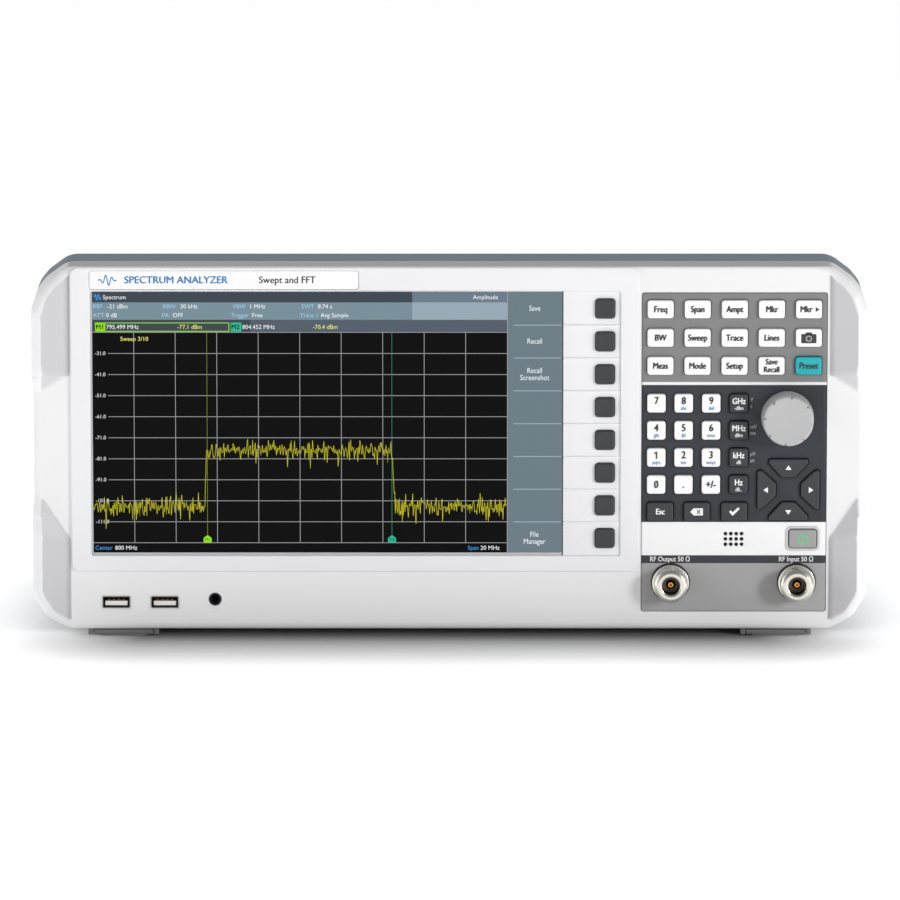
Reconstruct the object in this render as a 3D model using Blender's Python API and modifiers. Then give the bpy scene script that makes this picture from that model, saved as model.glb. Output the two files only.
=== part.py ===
"""Bench spectrum analyzer: a front bezel with display, keys, knob and sockets on a tapered housing.

X runs to the right seen from the front, Y to the rear and Z up. The origin is under the middle, on the bench.
Sizes below are in millimetres and become metres where vertices are made.
"""
import math

import bmesh
import bpy
from mathutils import Matrix, Vector

MM = 0.001
GAP = 0.3

# Depths along Y.
BEZEL_FACE = -59.5
BEZEL_BACK = -40.0
BEZEL_WALL_BACK = -55.5
PLATE_FACE = -61.0
RECESS_FLOOR = -59.9
PANEL_FACE = -59.6
PANEL_BACK = -57.6
KEY_FACE = -61.4
KEY_LIP_FRONT = -57.3
KEY_LIP_BACK = -54.0
SOFT_LIP_FRONT = -55.2
BOARD_FRONT = -52.5
BOARD_BACK = -50.9
DISPLAY_BOSS_BACK = -48.0
CONNECTOR_BACK = -48.0
KNOB_FACE = -73.5
CONNECTOR_FACE = -71.0
BELT_BACK = -15.0
REAR_WALL = 62.0
REAR_END = 73.5

# Outer shape of the front: the right half, from the middle of the bottom upwards, as (x, z, corner radius).
TOP = 178.0
BOTTOM = 4.0
HALF_OUTLINE = [
    (180.0, BOTTOM, 8.0),
    (191.5, 10.2, 10.0),
    (197.9, 20.5, 10.0),
    (197.9, 58.9, 4.0),
    (196.5, 66.5, 4.0),
    (196.5, 117.0, 4.0),
    (197.9, 125.7, 4.0),
    (197.9, 157.0, 12.0),
    (194.9, 165.7, 10.0),
    (190.5, 172.0, 8.0),
    (183.5, TOP, 3.0),
]
WALL = 2.5
BUMPER_VALLEY = 179.5
BUMPER_HEIGHT = 5.0

# Display side.
PLATE = (-179.0, 89.5, 32.2, 177.6)
SCREEN = (-169.6, 53.1, 41.2, 166.2)
BADGE = (-171.0, -42.8, 167.25, 176.25)
SOFT_RECESS = (53.7, 80.8, 39.9, 166.2)
SOFT_KEY = (8.9, 9.1)
SOFT_KEY_X = 73.5
SOFT_KEY_TOP = 158.2
SOFT_KEY_PITCH = 15.72

# Key side.
PANEL = (91.0, 178.3, 12.95, 165.5)
WIDE_KEY = (12.3, 8.5)
ENTRY_KEY = (12.3, 8.8)
SQUARE_KEY = (8.7, 8.8)
FUNCTION_X = 99.6
FUNCTION_PITCH = 17.5
FUNCTION_ROWS = (157.9, 144.3, 130.9)
NUMBER_X = (97.8, 110.7, 123.7)
NUMBER_ROWS = (113.0, 100.0, 87.0, 74.0)
UNIT_X = 136.8
ENTRY_X = (99.8, 117.1, 134.8)
ENTRY_Z = 61.0
ARROW_CENTRE = (160.4, 71.5)
ARROW_REACH = 14.7
POWER_KEY = (13.0, 8.7)
POWER_CENTRE = (167.4, 47.9)
KEY_CLEARANCE = 0.35
KEY_LIP = 0.8
KEY_CHAMFER = 0.4
KNOB_CENTRE = (159.8, 106.3)
KNOB_RADIUS = 12.5
KNOB_FACE_RADIUS = 11.9
KNOB_NOTCHES = 8
SHAFT_RADIUS = 3.0
SPEAKER_CENTRE = (134.6, 47.6)
SPEAKER_PITCH = 2.5
SPEAKER_HOLE_RADIUS = 0.8
CONNECTOR_X = (104.8, 164.6)
CONNECTOR_Z = 26.7

# Ports and feet.
USB_SIZE = (13.4, 5.8)
USB_X = (-158.2, -135.2)
USB_Z = 17.2
JACK_CENTRE = (-111.3, 18.6)
JACK_RADIUS = 3.9
FOOT_X = 155.0
FOOT_WIDTH = 28.0
FOOT_PIVOT = (-53.0, 2.0)
FOOT_BARREL = 1.7
FOOT_LENGTH = 32.0
FOOT_PIN = 0.8

# Rear.
REAR_TOP = 161.6
REAR_SHRINK = 0.95
BNC_PLACES = ((-40.0, 118.0), (0.0, 118.0), (40.0, 118.0))
LAN_BOX = (-34.0, -18.0, 78.0, 91.5)
USB_B_BOX = (10.0, 22.0, 78.0, 89.0)
INLET_BOX = (-164.0, -137.0, 32.0, 52.0)
BOARD_MOUNT_Y = 48.0
BOARD_THICKNESS = 1.6
REAR_BOARD = (-95.0, 165.0, 25.0, 145.0)
KEYPAD_BOARD = (64.0, 177.0, 41.5, 166.0)
SIDE_SLOTS = 10
SIDE_SLOT_PITCH = 5.5
REAR_SLOTS = 9
REAR_SLOT_PITCH = 7.0

for old in list(bpy.data.objects):
    bpy.data.objects.remove(old)

scene_collection = bpy.context.scene.collection
parts = bpy.data.collections.new("spectrum_analyzer")
cutters = bpy.data.collections.new("cutters")
scene_collection.children.link(parts)
scene_collection.children.link(cutters)


def material(name, colour, roughness, metallic=0.0):
    made = bpy.data.materials.new(name)
    made.use_nodes = True
    shader = made.node_tree.nodes["Principled BSDF"]
    shader.inputs["Base Color"].default_value = (*colour, 1.0)
    shader.inputs["Roughness"].default_value = roughness
    shader.inputs["Metallic"].default_value = metallic
    return made


WHITE = material("white_plastic", (0.83, 0.83, 0.84), 0.45)
HOUSING = material("blue_grey_plastic", (0.21, 0.25, 0.30), 0.5)
PANEL_GREY = material("panel_grey", (0.26, 0.26, 0.26), 0.55)
KEY_DARK = material("dark_key", (0.065, 0.073, 0.08), 0.5)
KEY_WHITE = material("white_key", (0.9, 0.9, 0.9), 0.45)
KEY_TEAL = material("teal_key", (0.0, 0.42, 0.46), 0.45)
KEY_GREY = material("power_key", (0.3, 0.3, 0.3), 0.5)
KNOB_GREY = material("knob_grey", (0.54, 0.54, 0.55), 0.45)
METAL = material("nickel", (0.62, 0.61, 0.58), 0.25, 1.0)
GLASS = material("display_glass", (0.01, 0.01, 0.012), 0.1)
BOARD_GREEN = material("circuit_board", (0.02, 0.13, 0.06), 0.5)
SUPPLY_METAL = material("zinc_sheet", (0.55, 0.56, 0.57), 0.35, 1.0)
FOOT_GREY = material("foot_grey", (0.15, 0.15, 0.15), 0.6)


# Outlines are lists of (x, z) points, counterclockwise seen from the front.


def rounded_polygon(corners, steps=2):
    """A polygon of (x, z, radius) corners, each corner an arc of that radius."""
    points = []
    for i, (x, z, radius) in enumerate(corners):
        corner = Vector((x, z))
        before = (Vector(corners[i - 1][:2]) - corner).normalized()
        after = (Vector(corners[(i + 1) % len(corners)][:2]) - corner).normalized()
        if radius == 0:
            points.append((x, z))
            continue
        half = before.angle(after) / 2
        centre = corner + (before + after).normalized() * radius / math.sin(half)
        start = corner + before * radius / math.tan(half) - centre
        turn = math.pi - 2 * half
        if before.x * after.y - before.y * after.x > 0:
            turn = -turn
        for step in range(steps + 1):
            spoke = start.copy()
            spoke.rotate(Matrix.Rotation(turn * step / steps, 2))
            points.append(tuple(centre + spoke))
    return points


def rectangle(low_x, high_x, low_z, high_z, radius=0.0, steps=2):
    corners = [(low_x, low_z), (high_x, low_z), (high_x, high_z), (low_x, high_z)]
    return rounded_polygon([(x, z, radius) for x, z in corners], steps)


def centred(centre, size, radius=0.0, steps=2):
    x, z = centre
    width, height = size
    return rectangle(x - width / 2, x + width / 2, z - height / 2, z + height / 2, radius, steps)


def circle(centre, radius, steps):
    turns = [math.tau * step / steps for step in range(steps)]
    return [(centre[0] + radius * math.cos(t), centre[1] + radius * math.sin(t)) for t in turns]


def grown(outline, distance):
    """The outline moved outwards by distance, or inwards if it is negative."""
    points = []
    for i, point in enumerate(outline):
        here = Vector(point)
        edge_in = (here - Vector(outline[i - 1])).normalized()
        edge_out = (Vector(outline[(i + 1) % len(outline)]) - here).normalized()
        normal_in = Vector((edge_in.y, -edge_in.x))
        normal_out = Vector((edge_out.y, -edge_out.x))
        shift = (normal_in + normal_out) * distance / (1 + normal_in.dot(normal_out))
        points.append(tuple(here + shift))
    return points


def silhouette():
    mirrored = [(-x, z, radius) for x, z, radius in reversed(HALF_OUTLINE)]
    return rounded_polygon(HALF_OUTLINE + mirrored)


FRONT_OUTLINE = silhouette()


def side_x(z):
    """How far the silhouette reaches to the right at height z."""
    reach = 0.0
    for (x0, z0), (x1, z1) in zip(FRONT_OUTLINE, FRONT_OUTLINE[1:] + FRONT_OUTLINE[:1]):
        if min(z0, z1) <= z <= max(z0, z1) and z0 != z1:
            reach = max(reach, x0 + (x1 - x0) * (z - z0) / (z1 - z0))
    return reach


# Solids.


def add_object(name, mesh, surface, collection=parts, location=(0.0, 0.0, 0.0)):
    made = bpy.data.objects.new(name, mesh)
    made.location = location
    collection.objects.link(made)
    if surface:
        mesh.materials.clear()
        mesh.materials.append(surface)
    else:
        made.hide_render = True
        made.display_type = "WIRE"
    return made


def flat_mesh(name, outlines, front, back):
    """A plate from depth front to depth back. The first outline is its edge and the rest are holes."""
    curve = bpy.data.curves.new(name, "CURVE")
    curve.dimensions = "2D"
    curve.fill_mode = "BOTH"
    curve.extrude = (back - front) / 2 * MM
    for outline in outlines:
        spline = curve.splines.new("POLY")
        spline.points.add(len(outline) - 1)
        spline.use_cyclic_u = True
        for point, (x, z) in zip(spline.points, outline):
            point.co = (x * MM, z * MM, 0.0, 1.0)
    guide = bpy.data.objects.new(name + "_guide", curve)
    scene_collection.objects.link(guide)
    mesh = bpy.data.meshes.new_from_object(guide.evaluated_get(bpy.context.evaluated_depsgraph_get()))
    mesh.name = name
    bpy.data.objects.remove(guide)
    bm = bmesh.new()
    bm.from_mesh(mesh)
    bmesh.ops.remove_doubles(bm, verts=bm.verts, dist=1e-6)
    bmesh.ops.recalc_face_normals(bm, faces=bm.faces)
    upright = Matrix.Rotation(math.pi / 2, 4, "X")
    middle = Matrix.Translation((0.0, (front + back) / 2 * MM, 0.0))
    bm.transform(middle @ upright)
    bm.to_mesh(mesh)
    bm.free()
    return mesh


def round_front(mesh, front, width, steps=2):
    """Rounds the outer edge of a flat mesh's front face."""
    bm = bmesh.new()
    bm.from_mesh(mesh)
    bmesh.ops.dissolve_limit(bm, angle_limit=0.01, verts=bm.verts, edges=bm.edges)
    on_front = [e for e in bm.edges if all(abs(v.co.y - front * MM) < 1e-6 for v in e.verts)]
    bmesh.ops.bevel(bm, geom=on_front, offset=width * MM, segments=steps, profile=0.5, affect="EDGES")
    bm.to_mesh(mesh)
    bm.free()
    return mesh


def box_mesh(name, low, high):
    bm = bmesh.new()
    bmesh.ops.create_cube(bm, size=1.0)
    size = (Vector(high) - Vector(low)) * MM
    middle = (Vector(high) + Vector(low)) / 2 * MM
    bm.transform(Matrix.Translation(middle) @ Matrix.Diagonal((*size, 1.0)))
    mesh = bpy.data.meshes.new(name)
    bm.to_mesh(mesh)
    bm.free()
    return mesh


def extruded(bm, face, shift, keep=False):
    """Extrudes one face by shift and returns its new end. keep leaves the old face as the solid's other end."""
    made = bmesh.ops.extrude_face_region(bm, geom=[face])["geom"]
    if not keep:
        bmesh.ops.delete(bm, geom=[face], context="FACES_ONLY")
    moved = [g for g in made if isinstance(g, bmesh.types.BMVert)]
    bmesh.ops.translate(bm, verts=moved, vec=shift)
    return next(g for g in made if isinstance(g, bmesh.types.BMFace))


def rod_mesh(name, centre, radius, low, high, axis="Y", steps=16):
    """A cylinder from low to high along an axis. centre gives its other two coordinates."""
    bm = bmesh.new()
    length = (high - low) * MM
    bmesh.ops.create_cone(
        bm, cap_ends=True, segments=steps, radius1=radius * MM, radius2=radius * MM, depth=length
    )
    middle = (low + high) / 2 * MM
    if axis == "Y":
        turn = Matrix.Rotation(math.pi / 2, 4, "X")
        place = (centre[0] * MM, middle, centre[1] * MM)
    elif axis == "X":
        turn = Matrix.Rotation(math.pi / 2, 4, "Y")
        place = (middle, centre[0] * MM, centre[1] * MM)
    else:
        turn = Matrix.Identity(4)
        place = (centre[0] * MM, centre[1] * MM, middle)
    bm.transform(Matrix.Translation(place) @ turn)
    mesh = bpy.data.meshes.new(name)
    bm.to_mesh(mesh)
    bm.free()
    return mesh


def turned_object(name, profile, surface, collection, place, steps):
    """A profile of (radius, y) points, turned about the Y axis through place = (x, z)."""
    mesh = bpy.data.meshes.new(name)
    points = [(radius * MM, 0.0, -y * MM) for radius, y in profile]
    edges = [(i, i + 1) for i in range(len(points) - 1)]
    mesh.from_pydata(points, edges, [])
    made = add_object(name, mesh, surface, collection, (place[0] * MM, 0.0, place[1] * MM))
    made.rotation_euler = (math.pi / 2, 0.0, 0.0)
    screw = made.modifiers.new("turn", "SCREW")
    screw.steps = steps
    screw.render_steps = steps
    screw.use_merge_vertices = True
    screw.merge_threshold = 0.00001
    return made


def boolean(target, operation, meshes):
    """Joins, cuts or trims target with these meshes."""
    group = bpy.data.collections.new(target.name + "_" + operation.lower())
    cutters.children.link(group)
    for mesh in meshes:
        add_object(mesh.name, mesh, None, group)
    modifier = target.modifiers.new(operation.lower(), "BOOLEAN")
    modifier.operation = operation
    modifier.solver = "EXACT"
    modifier.operand_type = "COLLECTION"
    modifier.collection = group


# Keys.


def key_mesh(name, outline, lip_front, chamfer=KEY_CHAMFER, face=KEY_FACE):
    """A key cap with a wider plunger behind the panel, made by stepping one outline forward."""
    bm = bmesh.new()
    ring = [bm.verts.new((x * MM, KEY_LIP_BACK * MM, z * MM)) for x, z in grown(outline, KEY_LIP)]
    top = bm.faces.new(ring)

    top = extruded(bm, top, (0.0, (lip_front - KEY_LIP_BACK) * MM, 0.0), keep=True)
    bmesh.ops.inset_individual(bm, faces=[top], thickness=KEY_LIP * MM, use_even_offset=True)
    top = extruded(bm, top, (0.0, (face + chamfer - lip_front) * MM, 0.0))
    bmesh.ops.inset_individual(
        bm, faces=[top], thickness=chamfer * MM, depth=chamfer * MM, use_even_offset=True
    )
    bmesh.ops.recalc_face_normals(bm, faces=bm.faces)
    mesh = bpy.data.meshes.new(name)
    bm.to_mesh(mesh)
    bm.free()
    return mesh


def arrow_outline(quarter_turns):
    """The right arrow key, around the pad's centre, turned by quarters: 1 is up, 2 left and 3 down."""
    outer, shoulder, inner = ARROW_REACH, 12.7, 5.9
    half_outer, half_inner = 9.25, 3.05
    corners = [
        (inner, -half_inner, 0.8),
        (shoulder, -half_outer, 0.8),
        (outer, -half_outer, 0.8),
        (outer, half_outer, 0.8),
        (shoulder, half_outer, 0.8),
        (inner, half_inner, 0.8),
    ]
    points = rounded_polygon(corners, 1)
    turn = Matrix.Rotation(quarter_turns * math.pi / 2, 2)
    return [tuple(turn @ Vector(point)) for point in points]


def key_layout():
    """Every key as (name, centre, shape name, material)."""
    keys = []
    for i in range(8):
        centre = (SOFT_KEY_X, SOFT_KEY_TOP - i * SOFT_KEY_PITCH)
        keys.append((f"soft_key_{i + 1}", centre, "soft", KEY_DARK))
    names = [
        ["frequency", "span", "amplitude", "marker", "marker_to"],
        ["bandwidth", "sweep", "trace", "lines", "screenshot"],
        ["measure", "mode", "setup", "save_recall", "preset"],
    ]
    for z, row in zip(FUNCTION_ROWS, names):
        for i, name in enumerate(row):
            surface = KEY_TEAL if name == "preset" else KEY_WHITE
            keys.append((f"{name}_key", (FUNCTION_X + i * FUNCTION_PITCH, z), "wide", surface))
    digits = ["7", "8", "9", "4", "5", "6", "1", "2", "3", "0", "point", "sign"]
    for i, digit in enumerate(digits):
        centre = (NUMBER_X[i % 3], NUMBER_ROWS[i // 3])
        keys.append((f"key_{digit}", centre, "square", KEY_WHITE))
    for z, unit in zip(NUMBER_ROWS, ["ghz", "mhz", "khz", "hz"]):
        keys.append((f"unit_key_{unit}", (UNIT_X, z), "square", KEY_DARK))
    for x, name in zip(ENTRY_X, ["escape", "backspace", "enter"]):
        keys.append((f"{name}_key", (x, ENTRY_Z), "entry", KEY_DARK))
    for turn, name in enumerate(["right", "up", "left", "down"]):
        keys.append((f"arrow_{name}", ARROW_CENTRE, f"arrow_{turn}", KEY_DARK))
    keys.append(("power_button", POWER_CENTRE, "power", KEY_GREY))
    return keys


KEY_OUTLINES = {
    "soft": centred((0.0, 0.0), SOFT_KEY, 1.5, 1),
    "wide": centred((0.0, 0.0), WIDE_KEY, 1.4, 1),
    "entry": centred((0.0, 0.0), ENTRY_KEY, 1.4, 1),
    "square": centred((0.0, 0.0), SQUARE_KEY, 1.4, 1),
    "power": centred((0.0, 0.0), POWER_KEY, 1.2, 1),
}
for quarter in range(4):
    KEY_OUTLINES[f"arrow_{quarter}"] = arrow_outline(quarter)

KEYS = key_layout()


def build_keys():
    meshes = {}
    for name, (x, z), shape, surface in KEYS:
        lip_front = SOFT_LIP_FRONT if shape == "soft" else KEY_LIP_FRONT
        tag = (shape, surface.name)
        if tag not in meshes:
            meshes[tag] = key_mesh(f"{shape}_cap", KEY_OUTLINES[shape], lip_front)
        add_object(name, meshes[tag], surface, parts, (x * MM, 0.0, z * MM))


def key_hole(centre, shape):
    outline = grown(KEY_OUTLINES[shape], KEY_CLEARANCE)
    return [(x + centre[0], z + centre[1]) for x, z in outline]


# Bezel.


def bumper_mesh(name, side, heights):
    """A corner bumper, lofted through (height, rise) pairs: it rises from a valley to a ridge."""
    bm = bmesh.new()
    rings = []
    for z, rise in heights:
        reach = side_x(z) + GAP
        ridge = max(reach - 4.9, BUMPER_VALLEY + 1.5)
        lift = BUMPER_HEIGHT * rise
        section = [
            (BUMPER_VALLEY, BEZEL_FACE + 0.5),
            (ridge, BEZEL_FACE - lift),
            (reach - 1.2, BEZEL_FACE + 0.5 - 0.75 * lift),
            (reach, BEZEL_FACE + 3.0),
            (reach, BEZEL_FACE + 12.0),
            (BUMPER_VALLEY, BEZEL_FACE + 12.0),
        ]
        rings.append([bm.verts.new((side * x * MM, y * MM, z * MM)) for x, y in section])
    for lower, upper in zip(rings, rings[1:]):
        for i in range(len(lower)):
            bm.faces.new((lower[i - 1], lower[i], upper[i], upper[i - 1]))
    bm.faces.new(rings[0])
    bm.faces.new(rings[-1])
    bmesh.ops.recalc_face_normals(bm, faces=bm.faces)
    mesh = bpy.data.meshes.new(name)
    bm.to_mesh(mesh)
    bm.free()
    return mesh


UPPER_BUMPER = [
    (117.5, 0.12),
    (126.0, 1.0),
    (157.0, 1.0),
    (163.0, 0.95),
    (168.0, 0.85),
    (172.5, 0.7),
    (176.0, 0.4),
]
LOWER_BUMPER = [(6.5, 0.3), (10.2, 0.7), (14.0, 0.9), (20.5, 1.0), (50.0, 1.0), (66.5, 0.12)]


def lug_meshes():
    """Lugs on both sides of each foot, which carry its pins."""
    y, z = FOOT_PIVOT
    lugs = []
    for foot in (-1, 1):
        for side in (-1, 1):
            x = foot * FOOT_X + side * (FOOT_WIDTH / 2 + GAP + 1.25)
            lugs.append(
                box_mesh("lug", (x - 1.25, y - 2.4, z - 1.7), (x + 1.25, y + 2.4, BOTTOM + 0.8))
            )
    return lugs


def build_bezel():
    mesh = flat_mesh("front_bezel", [FRONT_OUTLINE], BEZEL_FACE, BEZEL_BACK)
    bezel = add_object("front_bezel", round_front(mesh, BEZEL_FACE, 2.0), WHITE)
    plate = flat_mesh("display_plate", [rectangle(*PLATE, 4.0)], PLATE_FACE, BEZEL_FACE + 2.0)
    additions = [round_front(plate, PLATE_FACE, 0.5, 1)]
    for side in (-1, 1):
        additions.append(bumper_mesh("bumper", side, UPPER_BUMPER))
        additions.append(bumper_mesh("bumper", side, LOWER_BUMPER))
    boolean(bezel, "UNION", additions)

    front = PLATE_FACE - 10.0
    deep = BEZEL_WALL_BACK + 1.0
    low_x, high_x, low_z, high_z = PANEL
    pocket = rectangle(low_x - GAP, high_x + GAP, low_z - GAP, high_z + GAP, 1.5)
    through = rectangle(low_x + 1.0, high_x - 1.0, low_z + 1.5, high_z - 1.5, 1.0)
    screen = (SCREEN[0] - GAP, SCREEN[1] + GAP, SCREEN[2] - GAP, SCREEN[3] + GAP)
    cuts = [
        flat_mesh("cavity", [grown(FRONT_OUTLINE, -WALL)], BEZEL_WALL_BACK, BEZEL_BACK + 1.0),
        flat_mesh("window", [rectangle(*screen, 0.8)], front, deep),
        flat_mesh("badge_recess", [rectangle(*BADGE, 1.5)], front, PLATE_FACE + 0.5),
        flat_mesh("soft_recess", [rectangle(*SOFT_RECESS, 0.8)], front, RECESS_FLOOR),
        flat_mesh("keypad_pocket", [pocket], front, PANEL_BACK + GAP),
        flat_mesh("keypad_opening", [through], front, deep),
        flat_mesh("jack_hole", [circle(JACK_CENTRE, JACK_RADIUS + 0.4, 20)], front, deep),
    ]
    for x in USB_X:
        hole = centred((x, USB_Z), (USB_SIZE[0] + 2 * GAP, USB_SIZE[1] + 2 * GAP), 0.6, 1)
        cuts.append(flat_mesh("usb_hole", [hole], front, deep))
    for name, centre, shape, _ in KEYS:
        if shape == "soft":
            cuts.append(flat_mesh(name + "_hole", [key_hole(centre, shape)], front, deep))
    boolean(bezel, "DIFFERENCE", cuts)

    bosses = []
    boss_front = BEZEL_WALL_BACK - 0.8
    for z in (48.0, 160.0):
        bosses.append(rod_mesh("board_boss", (84.5, z), 2.5, boss_front, BOARD_FRONT - GAP, steps=10))
    for x in (-174.5, 58.0):
        for z in (34.0, 171.0):
            bosses.append(rod_mesh("display_boss", (x, z), 2.5, boss_front, DISPLAY_BOSS_BACK, steps=10))
    boolean(bezel, "UNION", bosses + lug_meshes())
    y, z = FOOT_PIVOT
    reach = FOOT_WIDTH / 2 + 4.0
    bores = [
        rod_mesh("lug_bore", (y, z), FOOT_PIN + GAP, x - reach, x + reach, "X", 10)
        for x in (-FOOT_X, FOOT_X)
    ]
    boolean(bezel, "DIFFERENCE", bores)


# Rear housing.


def rear_outline(outline, share):
    """The outline shrunk towards the rear: share 0 is the belt and 1 the rear wall."""
    side = 1 + (REAR_SHRINK - 1) * share
    height = 1 + ((REAR_TOP - BOTTOM) / (TOP - BOTTOM) - 1) * share
    return [(x * side, BOTTOM + (z - BOTTOM) * height) for x, z in outline]


def shell_mesh(name, outline, sections):
    """A closed loft of (depth, share) sections of one outline, tapered towards the rear."""
    bm = bmesh.new()
    rings = []
    for depth, share in sections:
        points = rear_outline(outline, share)
        rings.append([bm.verts.new((x * MM, depth * MM, z * MM)) for x, z in points])
    for nearer, farther in zip(rings, rings[1:]):
        for i in range(len(nearer)):
            bm.faces.new((nearer[i - 1], nearer[i], farther[i], farther[i - 1]))
    bm.faces.new(rings[0])
    bm.faces.new(rings[-1])
    bmesh.ops.recalc_face_normals(bm, faces=bm.faces)
    mesh = bpy.data.meshes.new(name)
    bm.to_mesh(mesh)
    bm.free()
    return mesh


def vent_meshes():
    """Cooling slots through both side walls and the rear wall."""
    slots = []
    for i in range(SIDE_SLOTS):
        y = -2.0 + i * SIDE_SLOT_PITCH
        for side in (-1, 1):
            low, high = sorted((side * 170.0, side * 205.0))
            slots.append(box_mesh("side_slot", (low, y, 60.0), (high, y + 2.4, 105.0)))
    for i in range(REAR_SLOTS):
        z = 60.0 + i * REAR_SLOT_PITCH
        low, high = (-165.0, REAR_WALL - 6.0, z), (-110.0, REAR_WALL + 3.0, z + 3.0)
        slots.append(box_mesh("rear_slot", low, high))
    return slots


def build_housing():
    front = BEZEL_BACK + GAP
    sections = [(front, 0.0), (BELT_BACK, 0.0), (REAR_WALL - 3.0, 0.96), (REAR_WALL, 1.0)]
    mesh = shell_mesh("rear_housing", FRONT_OUTLINE, sections)
    housing = add_object("rear_housing", mesh, HOUSING)
    inner = grown(FRONT_OUTLINE, -WALL)
    hollow = [(front - 1.0, 0.0), (BELT_BACK, 0.0), (REAR_WALL - WALL, 0.97)]
    boolean(housing, "DIFFERENCE", [shell_mesh("hollow", inner, hollow)])
    stands = []
    for side in (-1, 1):
        low, high = sorted((side * 160.0, side * 182.0))
        foot = rectangle(low, high, 0.0, 26.0, 3.0, 1)
        upper = rectangle(low, high, 132.0, 155.0, 3.0, 1)
        stands.append(flat_mesh("lower_stand", [foot], REAR_WALL - 1.0, REAR_END))
        stands.append(flat_mesh("upper_stand", [upper], REAR_WALL - 1.0, REAR_END))
        stands.append(box_mesh("rear_foot", (low, 40.0, 0.0), (high, REAR_WALL + 1.0, BOTTOM + 0.8)))
    for x in (REAR_BOARD[0] + 6.0, REAR_BOARD[1] - 6.0):
        for z in (REAR_BOARD[2] + 6.0, REAR_BOARD[3] - 6.0):
            low = BOARD_MOUNT_Y + BOARD_THICKNESS + GAP
            stands.append(rod_mesh("board_boss", (x, z), 3.0, low, REAR_WALL - 1.0, steps=10))
    boolean(housing, "UNION", stands)

    def wall_hole(name, outline):
        return flat_mesh(name, [outline], REAR_WALL - 6.0, REAR_WALL + 3.0)

    holes = [
        wall_hole("lan_hole", grown(rectangle(*LAN_BOX), 0.4)),
        wall_hole("usb_b_hole", grown(rectangle(*USB_B_BOX), 0.4)),
        wall_hole("inlet_hole", grown(rectangle(*INLET_BOX), 0.4)),
    ]
    holes += [wall_hole("bnc_hole", circle(place, 5.4, 16)) for place in BNC_PLACES]
    boolean(housing, "DIFFERENCE", holes + vent_meshes())


# Panel, boards and modules.


def build_keypad_panel():
    outlines = [rectangle(*PANEL, 1.2)]
    outlines += [key_hole(centre, shape) for _, centre, shape, _ in KEYS if shape != "soft"]
    outlines.append(circle(KNOB_CENTRE, SHAFT_RADIUS + 0.5, 16))
    for x in CONNECTOR_X:
        outlines.append(circle((x, CONNECTOR_Z), 6.8, 16))
    for column in range(4):
        for row in range(3):
            x = SPEAKER_CENTRE[0] + (column - 1.5) * SPEAKER_PITCH
            z = SPEAKER_CENTRE[1] + (row - 1) * SPEAKER_PITCH
            outlines.append(circle((x, z), SPEAKER_HOLE_RADIUS, 6))
    mesh = flat_mesh("keypad_panel", outlines, PANEL_FACE, PANEL_BACK)
    add_object("keypad_panel", mesh, PANEL_GREY)


def build_keypad_board():
    outline = rectangle(*KEYPAD_BOARD, 1.0, 1)
    mesh = flat_mesh("keypad_board", [outline], BOARD_FRONT, BOARD_BACK)
    board = add_object("keypad_board", mesh, BOARD_GREEN)
    x, z = KNOB_CENTRE
    near = BOARD_BACK - 0.5
    encoder = box_mesh("encoder", (x - 6.0, near, z - 6.0), (x + 6.0, BOARD_BACK + 7.0, z + 6.0))
    bushing = rod_mesh("bushing", KNOB_CENTRE, 5.0, PANEL_BACK + 0.7, BOARD_BACK, steps=16)
    speaker = rod_mesh("speaker", SPEAKER_CENTRE, 6.5, PANEL_BACK + 0.7, BOARD_FRONT + 0.5, steps=20)
    processor = box_mesh("processor", (100.0, near, 80.0), (118.0, BOARD_BACK + 2.0, 98.0))
    boolean(board, "UNION", [encoder, bushing, speaker, processor])
    bore = rod_mesh("shaft_bore", KNOB_CENTRE, SHAFT_RADIUS + 0.4, -60.0, BOARD_BACK + 5.0, steps=16)
    boolean(board, "DIFFERENCE", [bore])


def build_knob():
    profile = [
        (0.0, KNOB_FACE + 0.5),
        (8.0, KNOB_FACE + 0.25),
        (KNOB_FACE_RADIUS - 1.0, KNOB_FACE),
        (KNOB_FACE_RADIUS, KNOB_FACE + 0.8),
        (KNOB_RADIUS, PANEL_FACE - 1.2),
        (KNOB_RADIUS, PANEL_FACE - 0.5),
        (SHAFT_RADIUS, PANEL_FACE - 0.5),
        (SHAFT_RADIUS, BOARD_BACK + 3.0),
        (0.0, BOARD_BACK + 3.0),
    ]
    knob = turned_object("rotary_knob", profile, KNOB_GREY, parts, KNOB_CENTRE, 40)
    notches = []
    for i in range(KNOB_NOTCHES):
        angle = math.radians(-7 + i * 360 / KNOB_NOTCHES)
        x = KNOB_CENTRE[0] + (KNOB_FACE_RADIUS + 0.5) * math.cos(angle)
        z = KNOB_CENTRE[1] + (KNOB_FACE_RADIUS + 0.5) * math.sin(angle)
        notches.append(rod_mesh("notch", (x, z), 1.1, KNOB_FACE - 2.0, KNOB_FACE + 2.5, steps=8))
    boolean(knob, "DIFFERENCE", notches)


def build_rf_connectors():
    for name, x in zip(("rf_output_connector", "rf_input_connector"), CONNECTOR_X):
        face = CONNECTOR_FACE
        profile = [
            (0.0, face + 4.8),
            (1.65, face + 4.8),
            (1.65, face + 9.4),
            (4.3, face + 9.4),
            (4.3, face),
            (7.5, face),
            (7.95, face + 0.6),
            (7.95, PANEL_FACE - 2.3),
            (8.75, PANEL_FACE - 2.3),
            (8.75, PANEL_FACE - GAP),
            (6.4, PANEL_FACE - GAP),
            (6.4, PANEL_BACK + GAP),
            (9.0, PANEL_BACK + GAP),
            (9.0, PANEL_BACK + 2.8),
            (6.4, PANEL_BACK + 2.8),
            (6.4, CONNECTOR_BACK),
            (0.0, CONNECTOR_BACK),
        ]
        turned_object(name, profile, METAL, parts, (x, CONNECTOR_Z), 24)


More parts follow.
